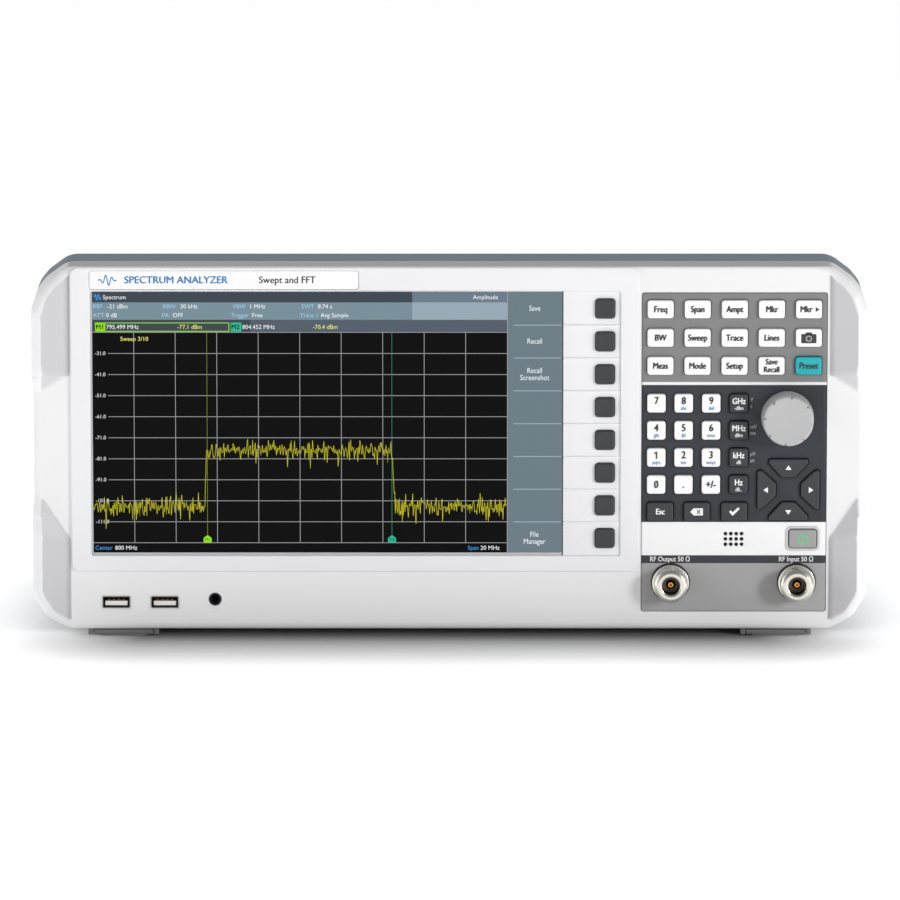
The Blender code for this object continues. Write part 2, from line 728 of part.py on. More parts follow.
def build_front_io():
    low, high = (-168.0, BEZEL_BACK - 14.5, 10.6), (-103.0, BEZEL_BACK - 1.0, 12.2)
    module = add_object("front_io_module", box_mesh("front_io_module", low, high), BOARD_GREEN)
    shells = []
    cuts = []
    tongues = []
    width, height = USB_SIZE
    for x in USB_X:
        outline = centred((x, USB_Z), USB_SIZE, 0.4, 1)
        shells.append(flat_mesh("usb_shell", [outline], BEZEL_FACE - 0.2, -44.0))
        shells.append(box_mesh("usb_leg", (x - 5.0, -54.0, 11.5), (x + 5.0, -45.0, USB_Z - 2.0)))
        inside = centred((x, USB_Z), (width - 1.0, height - 1.0))
        cuts.append(flat_mesh("usb_inside", [inside], BEZEL_FACE - 2.0, -46.0))
        low, high = (x - 5.5, BEZEL_FACE + 0.6, USB_Z - 0.1), (x + 5.5, -45.0, USB_Z + 1.8)
        tongues.append(box_mesh("usb_tongue", low, high))
    shells.append(rod_mesh("jack_body", JACK_CENTRE, JACK_RADIUS, BEZEL_FACE - 0.4, -44.0, steps=20))
    x = JACK_CENTRE[0]
    shells.append(box_mesh("jack_base", (x - 4.0, -54.5, 11.5), (x + 4.0, -44.5, 17.0)))
    cuts.append(rod_mesh("jack_bore", JACK_CENTRE, 1.8, BEZEL_FACE - 2.0, -46.0, steps=12))
    boolean(module, "UNION", shells)
    boolean(module, "DIFFERENCE", cuts)
    boolean(module, "UNION", tongues)


def build_display():
    low_x, high_x, low_z, high_z = SCREEN
    glass = flat_mesh("display_module", [rectangle(*SCREEN, 0.5, 1)], RECESS_FLOOR, -53.0)
    display = add_object("display_module", glass, GLASS)
    low, high = (low_x - 2.0, -55.1, low_z - 3.0), (high_x + 2.0, -47.5, high_z + 2.0)
    frame = box_mesh("lcd_frame", low, high)
    driver = box_mesh("display_driver", (-110.0, -48.0, 60.0), (-20.0, -45.0, 120.0))
    boolean(display, "UNION", [frame, driver])


def port_box(name, port, inset, front, back):
    """A box over a rear port's (low x, high x, low z, high z) area, inset by (sides, bottom, top)."""
    sides, bottom, top = inset
    low = (port[0] + sides, front, port[2] + bottom)
    high = (port[1] - sides, back, port[3] - top)
    return box_mesh(name, low, high)


def build_main_board():
    low_x, high_x, low_z, high_z = REAR_BOARD
    y = BOARD_MOUNT_Y
    rear = REAR_WALL + 0.5
    mesh = box_mesh("main_board", (low_x, y, low_z), (high_x, y + BOARD_THICKNESS, high_z))
    board = add_object("main_board", mesh, BOARD_GREEN)
    joined = [
        box_mesh("rf_shield", (60.0, y - 22.0, 35.0), (155.0, y + 0.5, 130.0)),
        box_mesh("processor_shield", (-80.0, y - 8.0, 60.0), (20.0, y + 0.5, 130.0)),
        port_box("lan_shell", LAN_BOX, (0.0, 0.0, 0.0), y + 1.0, rear),
        port_box("usb_b_shell", USB_B_BOX, (0.0, 0.0, 0.0), y + 1.0, rear),
    ]
    cuts = [
        port_box("lan_inside", LAN_BOX, (1.6, 2.0, 1.6), y + 4.0, rear + 2.0),
        port_box("usb_b_inside", USB_B_BOX, (1.5, 1.5, 1.5), y + 4.0, rear + 2.0),
    ]
    pins = [port_box("usb_b_block", USB_B_BOX, (3.2, 3.9, 3.9), y + 3.5, rear - 1.5)]
    for place in BNC_PLACES:
        joined.append(rod_mesh("bnc_body", place, 4.8, y + 1.0, REAR_END - 1.0, steps=16))
        cuts.append(rod_mesh("bnc_inside", place, 3.9, REAR_WALL + 1.5, REAR_END + 2.0, steps=12))
        pins.append(rod_mesh("bnc_contact", place, 1.2, REAR_WALL + 1.0, REAR_END - 3.0, steps=8))
    boolean(board, "UNION", joined)
    boolean(board, "DIFFERENCE", cuts)
    boolean(board, "UNION", pins)


def build_power_supply():
    low_x, high_x, low_z, high_z = INLET_BOX
    case = box_mesh("power_supply", (-178.0, -12.0, 14.0), (-106.0, 50.0, 118.0))
    supply = add_object("power_supply", case, SUPPLY_METAL)
    inlet = box_mesh("mains_inlet", (low_x, 49.0, low_z), (high_x, REAR_WALL + 0.8, high_z))
    boolean(supply, "UNION", [inlet])
    socket = (low_x + 1.5, 46.0, low_z + 1.7), (high_x - 1.5, REAR_WALL + 3.0, high_z - 1.7)
    boolean(supply, "DIFFERENCE", [box_mesh("inlet_socket", *socket)])
    middle_x, middle_z = (low_x + high_x) / 2, (low_z + high_z) / 2
    pins = []
    for x, z in ((-7.0, -2.0), (0.0, 2.0), (7.0, -2.0)):
        centre = (middle_x + x, middle_z + z)
        low = (centre[0] - 1.0, 45.0, centre[1] - 2.0)
        high = (centre[0] + 1.0, REAR_WALL - 4.5, centre[1] + 2.0)
        pins.append(box_mesh("inlet_pin", low, high))
    boolean(supply, "UNION", pins)


def build_feet():
    """Tilt feet, folded back under the bezel, each turning on two short pins."""
    y, z = FOOT_PIVOT
    for name, x in (("tilt_foot_left", -FOOT_X), ("tilt_foot_right", FOOT_X)):
        place = Matrix.Translation((-x * MM, -y * MM, -z * MM))
        half = FOOT_WIDTH / 2
        leg = box_mesh(name, (x - half, y + 0.6, 0.0), (x + half, y + FOOT_LENGTH, 3.4))
        leg.transform(place)
        foot = add_object(name, leg, FOOT_GREY, parts, (x * MM, y * MM, z * MM))
        barrel = rod_mesh("foot_barrel", (y, z), FOOT_BARREL, x - half, x + half, "X", 16)
        pins = rod_mesh("foot_pins", (y, z), FOOT_PIN, x - half - 2.4, x + half + 2.4, "X", 10)
        pad = box_mesh("foot_pad", (x - half + 3.0, y - 1.0, 0.0), (x + half - 3.0, y + 4.0, 1.0))
        boolean(foot, "UNION", [barrel, pins, pad])


def shade(objects, angle=math.radians(35)):
    for made in objects:
        made.data.shade_smooth()
        made.data.set_sharp_from_angle(angle=angle)


build_keys()
build_bezel()
build_housing()
build_keypad_panel()
build_keypad_board()
build_knob()
build_rf_connectors()
build_front_io()
build_display()
build_main_board()
build_power_supply()
build_feet()
shade(parts.objects)
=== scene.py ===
"""Bench spectrum analyzer: the looks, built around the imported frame. Helper sizes are in millimetres."""
import math
import random

import bmesh
import bpy
from mathutils import Matrix, Vector


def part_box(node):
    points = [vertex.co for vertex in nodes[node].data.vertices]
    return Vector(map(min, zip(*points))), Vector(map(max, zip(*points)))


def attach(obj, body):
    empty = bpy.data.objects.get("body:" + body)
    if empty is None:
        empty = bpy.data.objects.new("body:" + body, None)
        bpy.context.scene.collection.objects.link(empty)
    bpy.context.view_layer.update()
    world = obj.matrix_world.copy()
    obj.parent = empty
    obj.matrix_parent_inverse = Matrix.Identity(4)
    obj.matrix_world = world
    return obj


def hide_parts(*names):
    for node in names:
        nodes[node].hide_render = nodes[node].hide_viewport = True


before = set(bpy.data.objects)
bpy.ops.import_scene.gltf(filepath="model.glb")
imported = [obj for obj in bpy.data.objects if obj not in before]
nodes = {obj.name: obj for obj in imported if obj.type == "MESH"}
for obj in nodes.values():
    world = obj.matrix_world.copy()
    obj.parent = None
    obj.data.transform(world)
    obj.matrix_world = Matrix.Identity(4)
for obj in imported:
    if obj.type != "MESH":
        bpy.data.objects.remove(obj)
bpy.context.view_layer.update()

MM = 0.001
CHASSIS = "chassis"
INK = 0.03  # how thick a print is
LIP = 0.8  # how far a key's flange reaches past its cap
MAKER = random.Random(7)

scene = bpy.context.scene


def node_box(node):
    """Lowest and highest corner of a CAD node, in millimetres."""
    low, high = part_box(node)
    return low / MM, high / MM


def spot(node):
    """The middle of a CAD node as seen from the front: its x and z."""
    low, high = node_box(node)
    return Vector(((low.x + high.x) / 2, (low.z + high.z) / 2))


# ---------------------------------------------------------------- outlines


def rounded_polygon(corners, steps=6):
    """Points of a polygon of (x, z, radius) corners, each corner an arc of that radius."""
    points = []
    for i, (x, z, radius) in enumerate(corners):
        corner = Vector((x, z))
        if radius == 0:
            points.append(corner)
            continue
        before = (Vector(corners[i - 1][:2]) - corner).normalized()
        after = (Vector(corners[(i + 1) % len(corners)][:2]) - corner).normalized()
        half = before.angle(after) / 2
        centre = corner + (before + after).normalized() * radius / math.sin(half)
        start = corner + before * radius / math.tan(half) - centre
        turn = math.pi - 2 * half
        if before.x * after.y - before.y * after.x > 0:
            turn = -turn
        points += [centre + Matrix.Rotation(turn * step / steps, 2) @ start for step in range(steps + 1)]
    return points


def rectangle(low_x, high_x, low_z, high_z, radius=0.0, steps=6):
    corners = ((low_x, low_z), (high_x, low_z), (high_x, high_z), (low_x, high_z))
    return rounded_polygon([(x, z, radius) for x, z in corners], steps)


def centred(x, z, width, height, radius=0.0, steps=6):
    return rectangle(x - width / 2, x + width / 2, z - height / 2, z + height / 2, radius, steps)


def circle(x, z, radius, steps=48):
    turns = [math.tau * step / steps for step in range(steps)]
    return [Vector((x + radius * math.cos(t), z + radius * math.sin(t))) for t in turns]


def grown(outline, distance):
    """The outline with every side moved outwards."""
    points = []
    for i, here in enumerate(outline):
        edge_in = (here - outline[i - 1]).normalized()
        edge_out = (outline[(i + 1) % len(outline)] - here).normalized()
        normal_in = Vector((edge_in.y, -edge_in.x))
        normal_out = Vector((edge_out.y, -edge_out.x))
        points.append(here + (normal_in + normal_out) * distance / (1 + normal_in.dot(normal_out)))
    return points


def quarter_turned(points, quarters, x, z):
    """Points about the origin, turned by quarter turns and moved to a place."""
    turn = Matrix.Rotation(quarters * math.pi / 2, 2)
    return [turn @ Vector(p) + Vector((x, z)) for p in points]


# ---------------------------------------------------------------- materials


def join(value, socket):
    """Sets a shader socket to a value or a colour without alpha, or links another node's output to it."""
    if isinstance(value, bpy.types.NodeSocket):
        socket.id_data.links.new(value, socket)
    elif socket.type == "RGBA":
        socket.default_value = (*value, 1.0)
    else:
        socket.default_value = value


def feed(node, **inputs):
    for name, value in inputs.items():
        join(value, node.inputs[name.replace("_", " ")])
    return node


def node_of(tree, kind, **inputs):
    return feed(tree.nodes.new("ShaderNode" + kind), **inputs)


def ranged(tree, value, low, high, to_low=0.0, to_high=1.0, kind="LINEAR"):
    """The output of a map range."""
    made = node_of(tree, "MapRange", Value=value, From_Min=low, From_Max=high, To_Min=to_low, To_Max=to_high)
    made.interpolation_type = kind
    return made.outputs["Result"]


def mix(tree, factor, a, b, blend="MIX"):
    """The output of a colour mix."""
    made = tree.nodes.new("ShaderNodeMix")
    made.data_type = "RGBA"
    made.blend_type = blend
    return feed(made, Factor=factor, A=a, B=b).outputs["Result"]


def maths(tree, operation, *values, kind="Math"):
    """The output of a Math or VectorMath node."""
    made = tree.nodes.new("ShaderNode" + kind)
    made.operation = operation
    for value, socket in zip(values, made.inputs):
        join(value, socket)
    return made.outputs["Vector" if kind == "VectorMath" and operation != "LENGTH" else "Value"]


def parts_of(material):
    """A material's node tree and shader, and the outputs of a new node of texture coordinates."""
    material.use_nodes = True
    tree = material.node_tree
    return tree, tree.nodes["Principled BSDF"], tree.nodes.new("ShaderNodeTexCoord").outputs


def axes_of(tree, vector):
    return node_of(tree, "SeparateXYZ", Vector=vector).outputs


def base_of(shader):
    """The output that feeds a shader's colour."""
    return shader.inputs["Base Color"].links[0].from_socket


def surface(
    name, colour, roughness, grain=900.0, bump=0.05, spread=0.05, metallic=0.0, tint=0.06, coat=0.0, wear=0.06
):
    """Principled material: fine grain as bump, roughness and colour that drift, and lighter edges."""
    made = bpy.data.materials.new(name)
    tree, shader, place = parts_of(made)
    fine = node_of(tree, "TexNoise", Vector=place["Object"], Scale=grain, Detail=4.0, Roughness=0.6)
    broad = node_of(tree, "TexNoise", Vector=place["Object"], Scale=14.0, Detail=6.0, Roughness=0.65)
    drift = broad.outputs["Fac"]
    darker = [c * (1 - tint) for c in colour]
    lighter = [min(1.0, c * (1 + tint)) for c in colour]
    worn = [c + (1.0 - c) * 0.5 for c in colour]
    edges = ranged(tree, node_of(tree, "NewGeometry").outputs["Pointiness"], 0.52, 0.62, 0.0, wear)
    relief = node_of(tree, "Bump", Height=fine.outputs["Fac"], Strength=bump, Distance=0.0001)
    feed(
        shader,
        Base_Color=mix(tree, edges, mix(tree, drift, darker, lighter), worn),
        Roughness=ranged(tree, drift, 0.3, 0.7, roughness - spread, roughness + spread),
        Normal=relief.outputs["Normal"], Metallic=metallic, Coat_Weight=coat, Coat_Roughness=0.08,
    )
    return made


def glowing(name, colour, strength=1.0):
    """A lit patch of the display under its glass, with faint pixel rows in its glow."""
    made = bpy.data.materials.new(name)
    tree, shader, place = parts_of(made)
    rows = node_of(tree, "TexWave", Vector=place["Object"], Scale=900.0, Distortion=0.0)
    rows.bands_direction = "Z"
    level = ranged(tree, rows.outputs["Fac"], 0.0, 1.0, strength * 0.94, strength * 1.02)
    dark = [c * 0.05 for c in colour]
    feed(shader, Base_Color=dark, Roughness=0.4, Specular_IOR_Level=0.06)
    feed(shader, Emission_Color=colour, Emission_Strength=level)
    return made


def srgb(*levels):
    """A colour from 0 to 255 display values, or one grey level, as linear values for shaders."""
    shares = [level / 255 for level in (levels if len(levels) == 3 else levels * 3)]
    return tuple(share / 12.92 if share <= 0.04045 else ((share + 0.055) / 1.055) ** 2.4 for share in shares)


WHITE = surface("white_plastic", srgb(227, 227, 228), 0.42, 1400.0, 0.06, tint=0.012)
PLATE_WHITE = surface("plate_white", srgb(234, 234, 236), 0.40, 1400.0, 0.05, tint=0.012)
BADGE_WHITE = surface("badge_white", srgb(246), 0.3, 700.0, 0.03, tint=0.01)
KEY_WHITE = surface("white_key_cap", srgb(248), 0.38, 1100.0, 0.05, tint=0.012)
KEY_DARK = surface("dark_key_cap", srgb(48, 52, 57), 0.45, 1100.0, 0.10, tint=0.05)
KEY_TEAL = surface("teal_key_cap", srgb(0, 172, 178), 0.38, 1100.0, 0.05, tint=0.03)
KEY_GREY = surface("power_key_cap", srgb(158), 0.42, 1100.0, 0.08, tint=0.03)
KNOB_GREY = surface("knob_plastic", srgb(182, 182, 183), 0.40, 1200.0, 0.08, tint=0.02)
HOUSING = surface("housing_plastic", srgb(122, 134, 147), 0.52, 1000.0, 0.18, tint=0.03)
FOOT = surface("foot_plastic", srgb(112), 0.58, 700.0, 0.35)
NICKEL = surface("nickel", srgb(214, 210, 202), 0.16, 260.0, 0.02, metallic=1.0, tint=0.05)
GOLD = surface("gold_contact", srgb(226, 168, 70), 0.22, 300.0, 0.03, 0.06, metallic=1.0, tint=0.05)
STEEL = surface("socket_steel", srgb(176, 176, 174), 0.28, 220.0, 0.05, 0.08, metallic=1.0)
DARK = surface("black_plastic", srgb(16, 16, 17), 0.45, 900.0, 0.15, tint=0.1)
INSULATOR = surface("socket_insulator", srgb(60, 44, 30), 0.5, 500.0, 0.10, tint=0.1)
TONGUE = surface("socket_tongue", srgb(238, 236, 232), 0.4, 600.0, tint=0.02)
INK_BLACK = surface("black_ink", srgb(16, 16, 18), 0.55, 500.0, tint=0.05)
INK_BLUE = surface("blue_ink", srgb(16, 118, 192), 0.55, 500.0, tint=0.05)
INK_WHITE = surface("white_ink", srgb(244), 0.5, 500.0, tint=0.02)
INK_GREY = surface("grey_ink", srgb(162, 164, 168), 0.5, 500.0, tint=0.02)
BOARD = surface("solder_mask", srgb(20, 88, 52), 0.4, 160.0, 0.20, tint=0.2)
ZINC = surface("zinc_sheet", srgb(180, 182, 184), 0.38, 90.0, 0.06, 0.1, metallic=1.0, tint=0.08)
GLASS = surface("display_glass", srgb(12, 12, 14), 0.12, 200.0, 0.01, 0.02, tint=0.1, coat=0.4)
POWER_LIGHT = glowing("power_light", srgb(110, 225, 150), 0.85)


# ---------------------------------------------------------------- meshes


def linked(name, data):
    """A new object in the scene."""
    made = bpy.data.objects.new(name, data)
    scene.collection.objects.link(made)
    return made


def mesh_of(name, bm):
    """A mesh made of a bmesh, which is used up."""
    mesh = bpy.data.meshes.new(name)
    bm.to_mesh(mesh)
    bm.free()
    return mesh


def baked(guide):
    """A bmesh of an object with its modifiers applied."""
    mesh = bpy.data.meshes.new_from_object(guide.evaluated_get(bpy.context.evaluated_depsgraph_get()))
    bm = bmesh.new()
    bm.from_mesh(mesh)
    bpy.data.meshes.remove(mesh)
    return bm


def piece(name, bm, material, body=CHASSIS, slot=None, angle=35.0, replaces=None):
    """A piece with sharp edges over angle. It rides on a body and may stand for a CAD node."""
    bmesh.ops.recalc_face_normals(bm, faces=bm.faces)
    mesh = mesh_of(name, bm)
    mesh.materials.append(material)
    mesh.shade_smooth()
    mesh.set_sharp_from_angle(angle=math.radians(angle))
    made = linked(name, mesh)
    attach(made, body)
    if replaces:
        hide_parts(replaces)


def curve_solid(outlines, front, back, edge=0.3, steps=3):
    """A plate from front to back with rounded edges. The first outline is its edge, the rest are holes."""
    curve = bpy.data.curves.new("plate", "CURVE")
    curve.dimensions = "2D"
    curve.fill_mode = "BOTH"
    curve.extrude = ((back - front) / 2 - edge) * MM
    curve.bevel_depth = edge * MM
    curve.bevel_resolution = steps
    curve.offset = -edge * MM
    for i, outline in enumerate(outlines):
        spline = curve.splines.new("POLY")
        spline.points.add(len(outline) - 1)
        spline.use_cyclic_u = True
        for point, place in zip(spline.points, outline[::-1] if i else outline):
            point.co = (place[0] * MM, place[1] * MM, 0.0, 1.0)
    return upright(curve, (front + back) / 2)


def upright(curve, depth):
    """A bmesh of a curve, which is used up, stood up to face the front at a depth."""
    guide = linked("guide", curve)
    bm = baked(guide)
    bpy.data.objects.remove(guide)
    bpy.data.curves.remove(curve)
    bmesh.ops.remove_doubles(bm, verts=bm.verts, dist=1e-7)
    bm.transform(Matrix.Translation((0.0, depth * MM, 0.0)) @ Matrix.Rotation(math.pi / 2, 4, "X"))
    return bm


def plate(name, outlines, front, back, material, edge=0.3, steps=3, **options):
    piece(name, curve_solid(outlines, front, back, edge, steps), material, **options)


def merged(parts):
    """One bmesh of several."""
    whole = bmesh.new()
    for part in parts:
        mesh = mesh_of("part", part)
        whole.from_mesh(mesh)
        bpy.data.meshes.remove(mesh)
    return whole


def loft(rings, caps=True):
    """A bmesh through closed rings of points in millimetres."""
    bm = bmesh.new()
    made = [[bm.verts.new(Vector(point) * MM) for point in ring] for ring in rings]
    for nearer, farther in zip(made, made[1:]):
        for i in range(len(nearer)):
            bm.faces.new((nearer[i - 1], nearer[i], farther[i], farther[i - 1]))
    if caps:
        bm.faces.new(made[0])
        bm.faces.new(made[-1])
    return bm


def turned(profile, x, z, steps=96, wave=None):
    """A (radius, y) profile turned about an axis along Y. wave gives what is added to a radius."""
    rings = []
    for radius, y in profile:
        ring = []
        for step in range(steps):
            angle = math.tau * step / steps
            reach = radius + (wave(angle, radius, y) if wave else 0.0)
            ring.append((x + reach * math.cos(angle), y, z + reach * math.sin(angle)))
        rings.append(ring)
    return loft(rings)


def tube(profile, x, z, steps, wave=None):
    """A turned solid whose end caps are taken off and whose two ends are joined to each other."""
    bm = turned(profile, x, z, steps, wave)
    bmesh.ops.delete(bm, geom=[f for f in bm.faces if len(f.verts) > 4], context="FACES_ONLY")
    bmesh.ops.bridge_loops(bm, edges=[e for e in bm.edges if e.is_boundary])
    return bm


def rounded_profile(corners, steps=4, origin=0.0):
    """An open (radius, y) profile with rounded corners, from (radius, y from an origin, fillet) points."""
    corners = [(radius, origin + y, fillet) for radius, y, fillet in corners]
    points = []
    for i, (radius, y, fillet) in enumerate(corners):
        here = Vector((radius, y))
        if fillet == 0 or i in (0, len(corners) - 1):
            points.append((radius, y))
            continue
        before = (Vector(corners[i - 1][:2]) - here).normalized()
        after = (Vector(corners[i + 1][:2]) - here).normalized()
        start, end = here + before * fillet, here + after * fillet
        for step in range(steps + 1):
            t = step / steps
            points.append(tuple(start * (1 - t) ** 2 + here * 2 * t * (1 - t) + end * t * t))
    return points


def block(low, high, edge=0.3):
    """A box bmesh with rounded edges between two corners."""
    bm = bmesh.new()
    bmesh.ops.create_cube(bm, size=1.0)
    low, high = Vector(low), Vector(high)
    bm.transform(Matrix.Translation((low + high) / 2 * MM) @ Matrix.Diagonal((*(high - low) * MM, 1.0)))
    if edge:
        bmesh.ops.bevel(bm, geom=bm.edges[:], offset=edge * MM, segments=2, profile=0.5, affect="EDGES")
    return bm


def bar(x, z, width, height, front, back, edge):
    """A bmesh bar along Y round a place."""
    return block((x - width / 2, front, z - height / 2), (x + width / 2, back, z + height / 2), edge)


def lettering(text, x, z, height, depth, bold=0.0, align="CENTER", narrow=0.82):
    """A bmesh of raised lettering round height z, its front face at depth. bold prints it twice, apart."""
    curve = bpy.data.curves.new("text", "FONT")
    curve.body = text
    curve.align_x = align
    curve.align_y = "CENTER"
    curve.size = height * 1.42 * MM
    curve.extrude = INK / 2 * MM
    curve.resolution_u = 3
    once = upright(curve, depth + INK / 2)
    once.transform(Matrix.Translation((x * MM, 0.0, z * MM)) @ Matrix.Diagonal((narrow, 1.0, 1.0, 1.0)))
    if not bold:
        return once
    again = once.copy()
    once.transform(Matrix.Translation((-bold * MM, 0.0, -bold / 2 * MM)))
    # The second print stands a hair in front of the first one, so that they don't flicker.
    again.transform(Matrix.Translation((bold * MM, -0.003 * MM, bold / 2 * MM)))
    return merged([once, again])


def flat_shape(points, front, x=0.0, z=0.0):
    """A thin flat solid of one outline round a place, for icons and lit areas."""
    return curve_solid([[Vector(p) + Vector((x, z)) for p in points]], front, front + INK, 0.0)


# ---------------------------------------------------------------- front bezel

TOP = 178.0
BOTTOM = 4.0
SIDE = 197.9
WAIST = 197.0
BEZEL_FACE = -59.5
BEZEL_BACK = -40.0
PLATE_FACE = -61.0
WALL_BACK = -55.5
WALL = 2.5
VALLEY = 179.5
INNER = (-VALLEY, VALLEY, 8.0, 176.8)
FACET_SLOPE = 5.0 / 13.5
END_SLOPE = 0.55
HALF_OUTLINE = [
    (180.0, BOTTOM, 8.0), (191.5, 10.2, 12.0), (SIDE, 20.5, 12.0), (SIDE, 58.9, 8.0), (WAIST, 66.5, 8.0),
    (WAIST, 117.0, 8.0), (SIDE, 125.7, 8.0), (SIDE, 157.0, 14.0), (194.9, 165.7, 12.0), (190.5, 171.0, 9.0),
    (181.0, TOP, 12.0),
]
PANEL_LOW, PANEL_HIGH = node_box("keypad_panel")
USB_X = (-158.2, -135.2)
USB_Z = 17.2
USB_SIZE = (13.4, 5.8)
JACK = (-111.3, 18.6)
SCREEN = (-168.8, 53.1, 41.2, 166.2)
RECESS = (53.7, 80.8, 39.9, 166.2)
BADGE = (-170.2, -42.8, 167.25, 176.25)
PLATE = (-179.0, 89.5, 32.2, 177.7)


def silhouette():
    """The bezel's outline with points about 1.5 mm apart."""
    mirrored = [(-x, z, radius) for x, z, radius in reversed(HALF_OUTLINE)]
    outline = rounded_polygon(HALF_OUTLINE + mirrored)
    points = []
    for here, there in zip(outline, outline[1:] + outline[:1]):
        count = max(1, round((there - here).length / 1.5))
        points += [here.lerp(there, i / count) for i in range(count)]
    return points


def smooth(value):
    value = min(1.0, max(0.0, value))
    return value * value * (3 - 2 * value)


def bumper_lift(x, z):
    """How far a corner bumper stands out of the bezel's face: its facet or its end, whichever is lower."""
    facet = FACET_SLOPE * (abs(x) - VALLEY)
    if facet <= 0:
        return 0.0
    # Distance above the lower end of the upper bumpers, and below the upper end of the lower ones.
    upper = ((abs(x) - 194.0) * 0.52 + (z - 117.6) * 0.854) * END_SLOPE
    lower = ((abs(x) - 190.7) * 0.832 - (z - 64.1) * 0.555) * END_SLOPE
    end = max(upper, lower)
    blend = 0.5
    share = min(1.0, max(0.0, 0.5 + 0.5 * (end - facet) / blend))
    return max(0.0, end * (1 - share) + facet * share - blend * share * (1 - share) * 0.5)


def rim_radius(x, z):
    """How wide the rounding between the bezel's side and its face is."""
    if abs(x) <= VALLEY:
        return 4.0 if z < 90 else 1.2
    bumper = min(1.0, bumper_lift(math.copysign(193.0, x), z) / 4.0)
    return 3.4 + 1.6 * smooth(bumper)


def inside(x, z, margin=0.0):
    """The nearest place in the bezel's flat rectangle, a margin from its edge."""
    low_x, high_x, low_z, high_z = INNER
    near_x = min(high_x - margin, max(low_x + margin, x))
    return Vector((near_x, min(high_z - margin, max(low_z + margin, z))))


def bezel_rings():
    """Closed rings from the bezel's back edge, round its rim and over the bumpers to a flat rectangle."""
    outline = silhouette()
    inward = [(b - a).normalized() for a, b in zip(outline, grown(outline, -1.0))]
    radii = [rim_radius(*p) for p in outline]
    for _ in range(12):
        radii = [(radii[i - 1] + radii[i] + radii[(i + 1) % len(radii)]) / 3 for i in range(len(radii))]
    rings = [[(p.x, y, p.y) for p in outline] for y in (BEZEL_BACK, BEZEL_FACE + 8.0)]
    ridges = [p + way * radius for p, way, radius in zip(outline, inward, radii)]
    rim_steps = 9
    for step in range(rim_steps + 1):
        angle = math.pi / 2 * step / rim_steps
        ring = []
        for p, way, radius, ridge in zip(outline, inward, radii, ridges):
            start = BEZEL_FACE + min(3.0, radius)
            face = BEZEL_FACE - bumper_lift(*ridge)
            place = p + way * radius * (1 - math.cos(angle))
            ring.append((place.x, start - (start - face) * math.sin(angle), place.y))
        rings.append(ring)
    across = 12
    for step in range(1, across + 1):
        places = [ridge.lerp(inside(*ridge), step / across) for ridge in ridges]
        rings.append([(p.x, BEZEL_FACE - bumper_lift(*p), p.y) for p in places])
    return rings


def hole_wall(bm, outline, front, back):
    """Adds a hole's side wall as an open band. Gives the edges of its front loop and of its back loop."""
    loops = [[bm.verts.new((p[0] * MM, y * MM, p[1] * MM)) for p in outline] for y in (front, back)]
    near, far = loops
    for i in range(len(outline)):
        bm.faces.new((near[i - 1], near[i], far[i], far[i - 1]))
    return [[bm.edges.get((loop[i - 1], loop[i])) for i in range(len(outline))] for loop in loops]


def bezel_painted_shade_material():
    """White plastic with painted shade: greyer on the bumpers' inward-facing slopes and on the upward-facing
    top edge, most so in the valleys.
    """
    made = surface("bezel_plastic_painted_shade", srgb(235, 235, 236), 0.42, 1400.0, 0.06, tint=0.012)
    tree, shader, place = parts_of(made)
    here, way = axes_of(tree, place["Object"]), axes_of(tree, place["Normal"])
    outwards = maths(tree, "MULTIPLY", way["X"], maths(tree, "SIGN", here["X"]))
    inwards = maths(tree, "MULTIPLY", outwards, -1.0)
    aside = maths(tree, "ABSOLUTE", here["X"])

    def ramp(value, low, high):
        return ranged(tree, value, low, high, kind="SMOOTHSTEP")

    beside = ramp(aside, (VALLEY - 0.5) * MM, (VALLEY + 0.5) * MM)
    # Painted shade: the bumpers' slopes that face inwards are greyer.
    slope = maths(tree, "MULTIPLY", ramp(inwards, 0.06, 0.32), beside)
    # Painted shade: the valleys beside the flat face are darker still.
    short = maths(tree, "SUBTRACT", VALLEY * MM, aside)
    groove = maths(tree, "MULTIPLY", ramp(short, -3.4 * MM, 0.4 * MM), slope)
    # Painted shade: the top edge, where it faces upwards, is greyer.
    high = ramp(here["Z"], (TOP - 4.0) * MM, (TOP - 1.0) * MM)
    edge = maths(tree, "MULTIPLY", ramp(way["Z"], 0.93, 0.995), high)
    base = base_of(shader)
    # Each mask lays its painted shade colour over the white: slopes, valleys, top edge.
    for mask, colour in ((slope, (201, 200, 203)), (groove, (168, 168, 171)), (edge, (190, 190, 190))):
        base = mix(tree, mask, base, srgb(*colour))
    feed(shader, Base_Color=base)
    return made


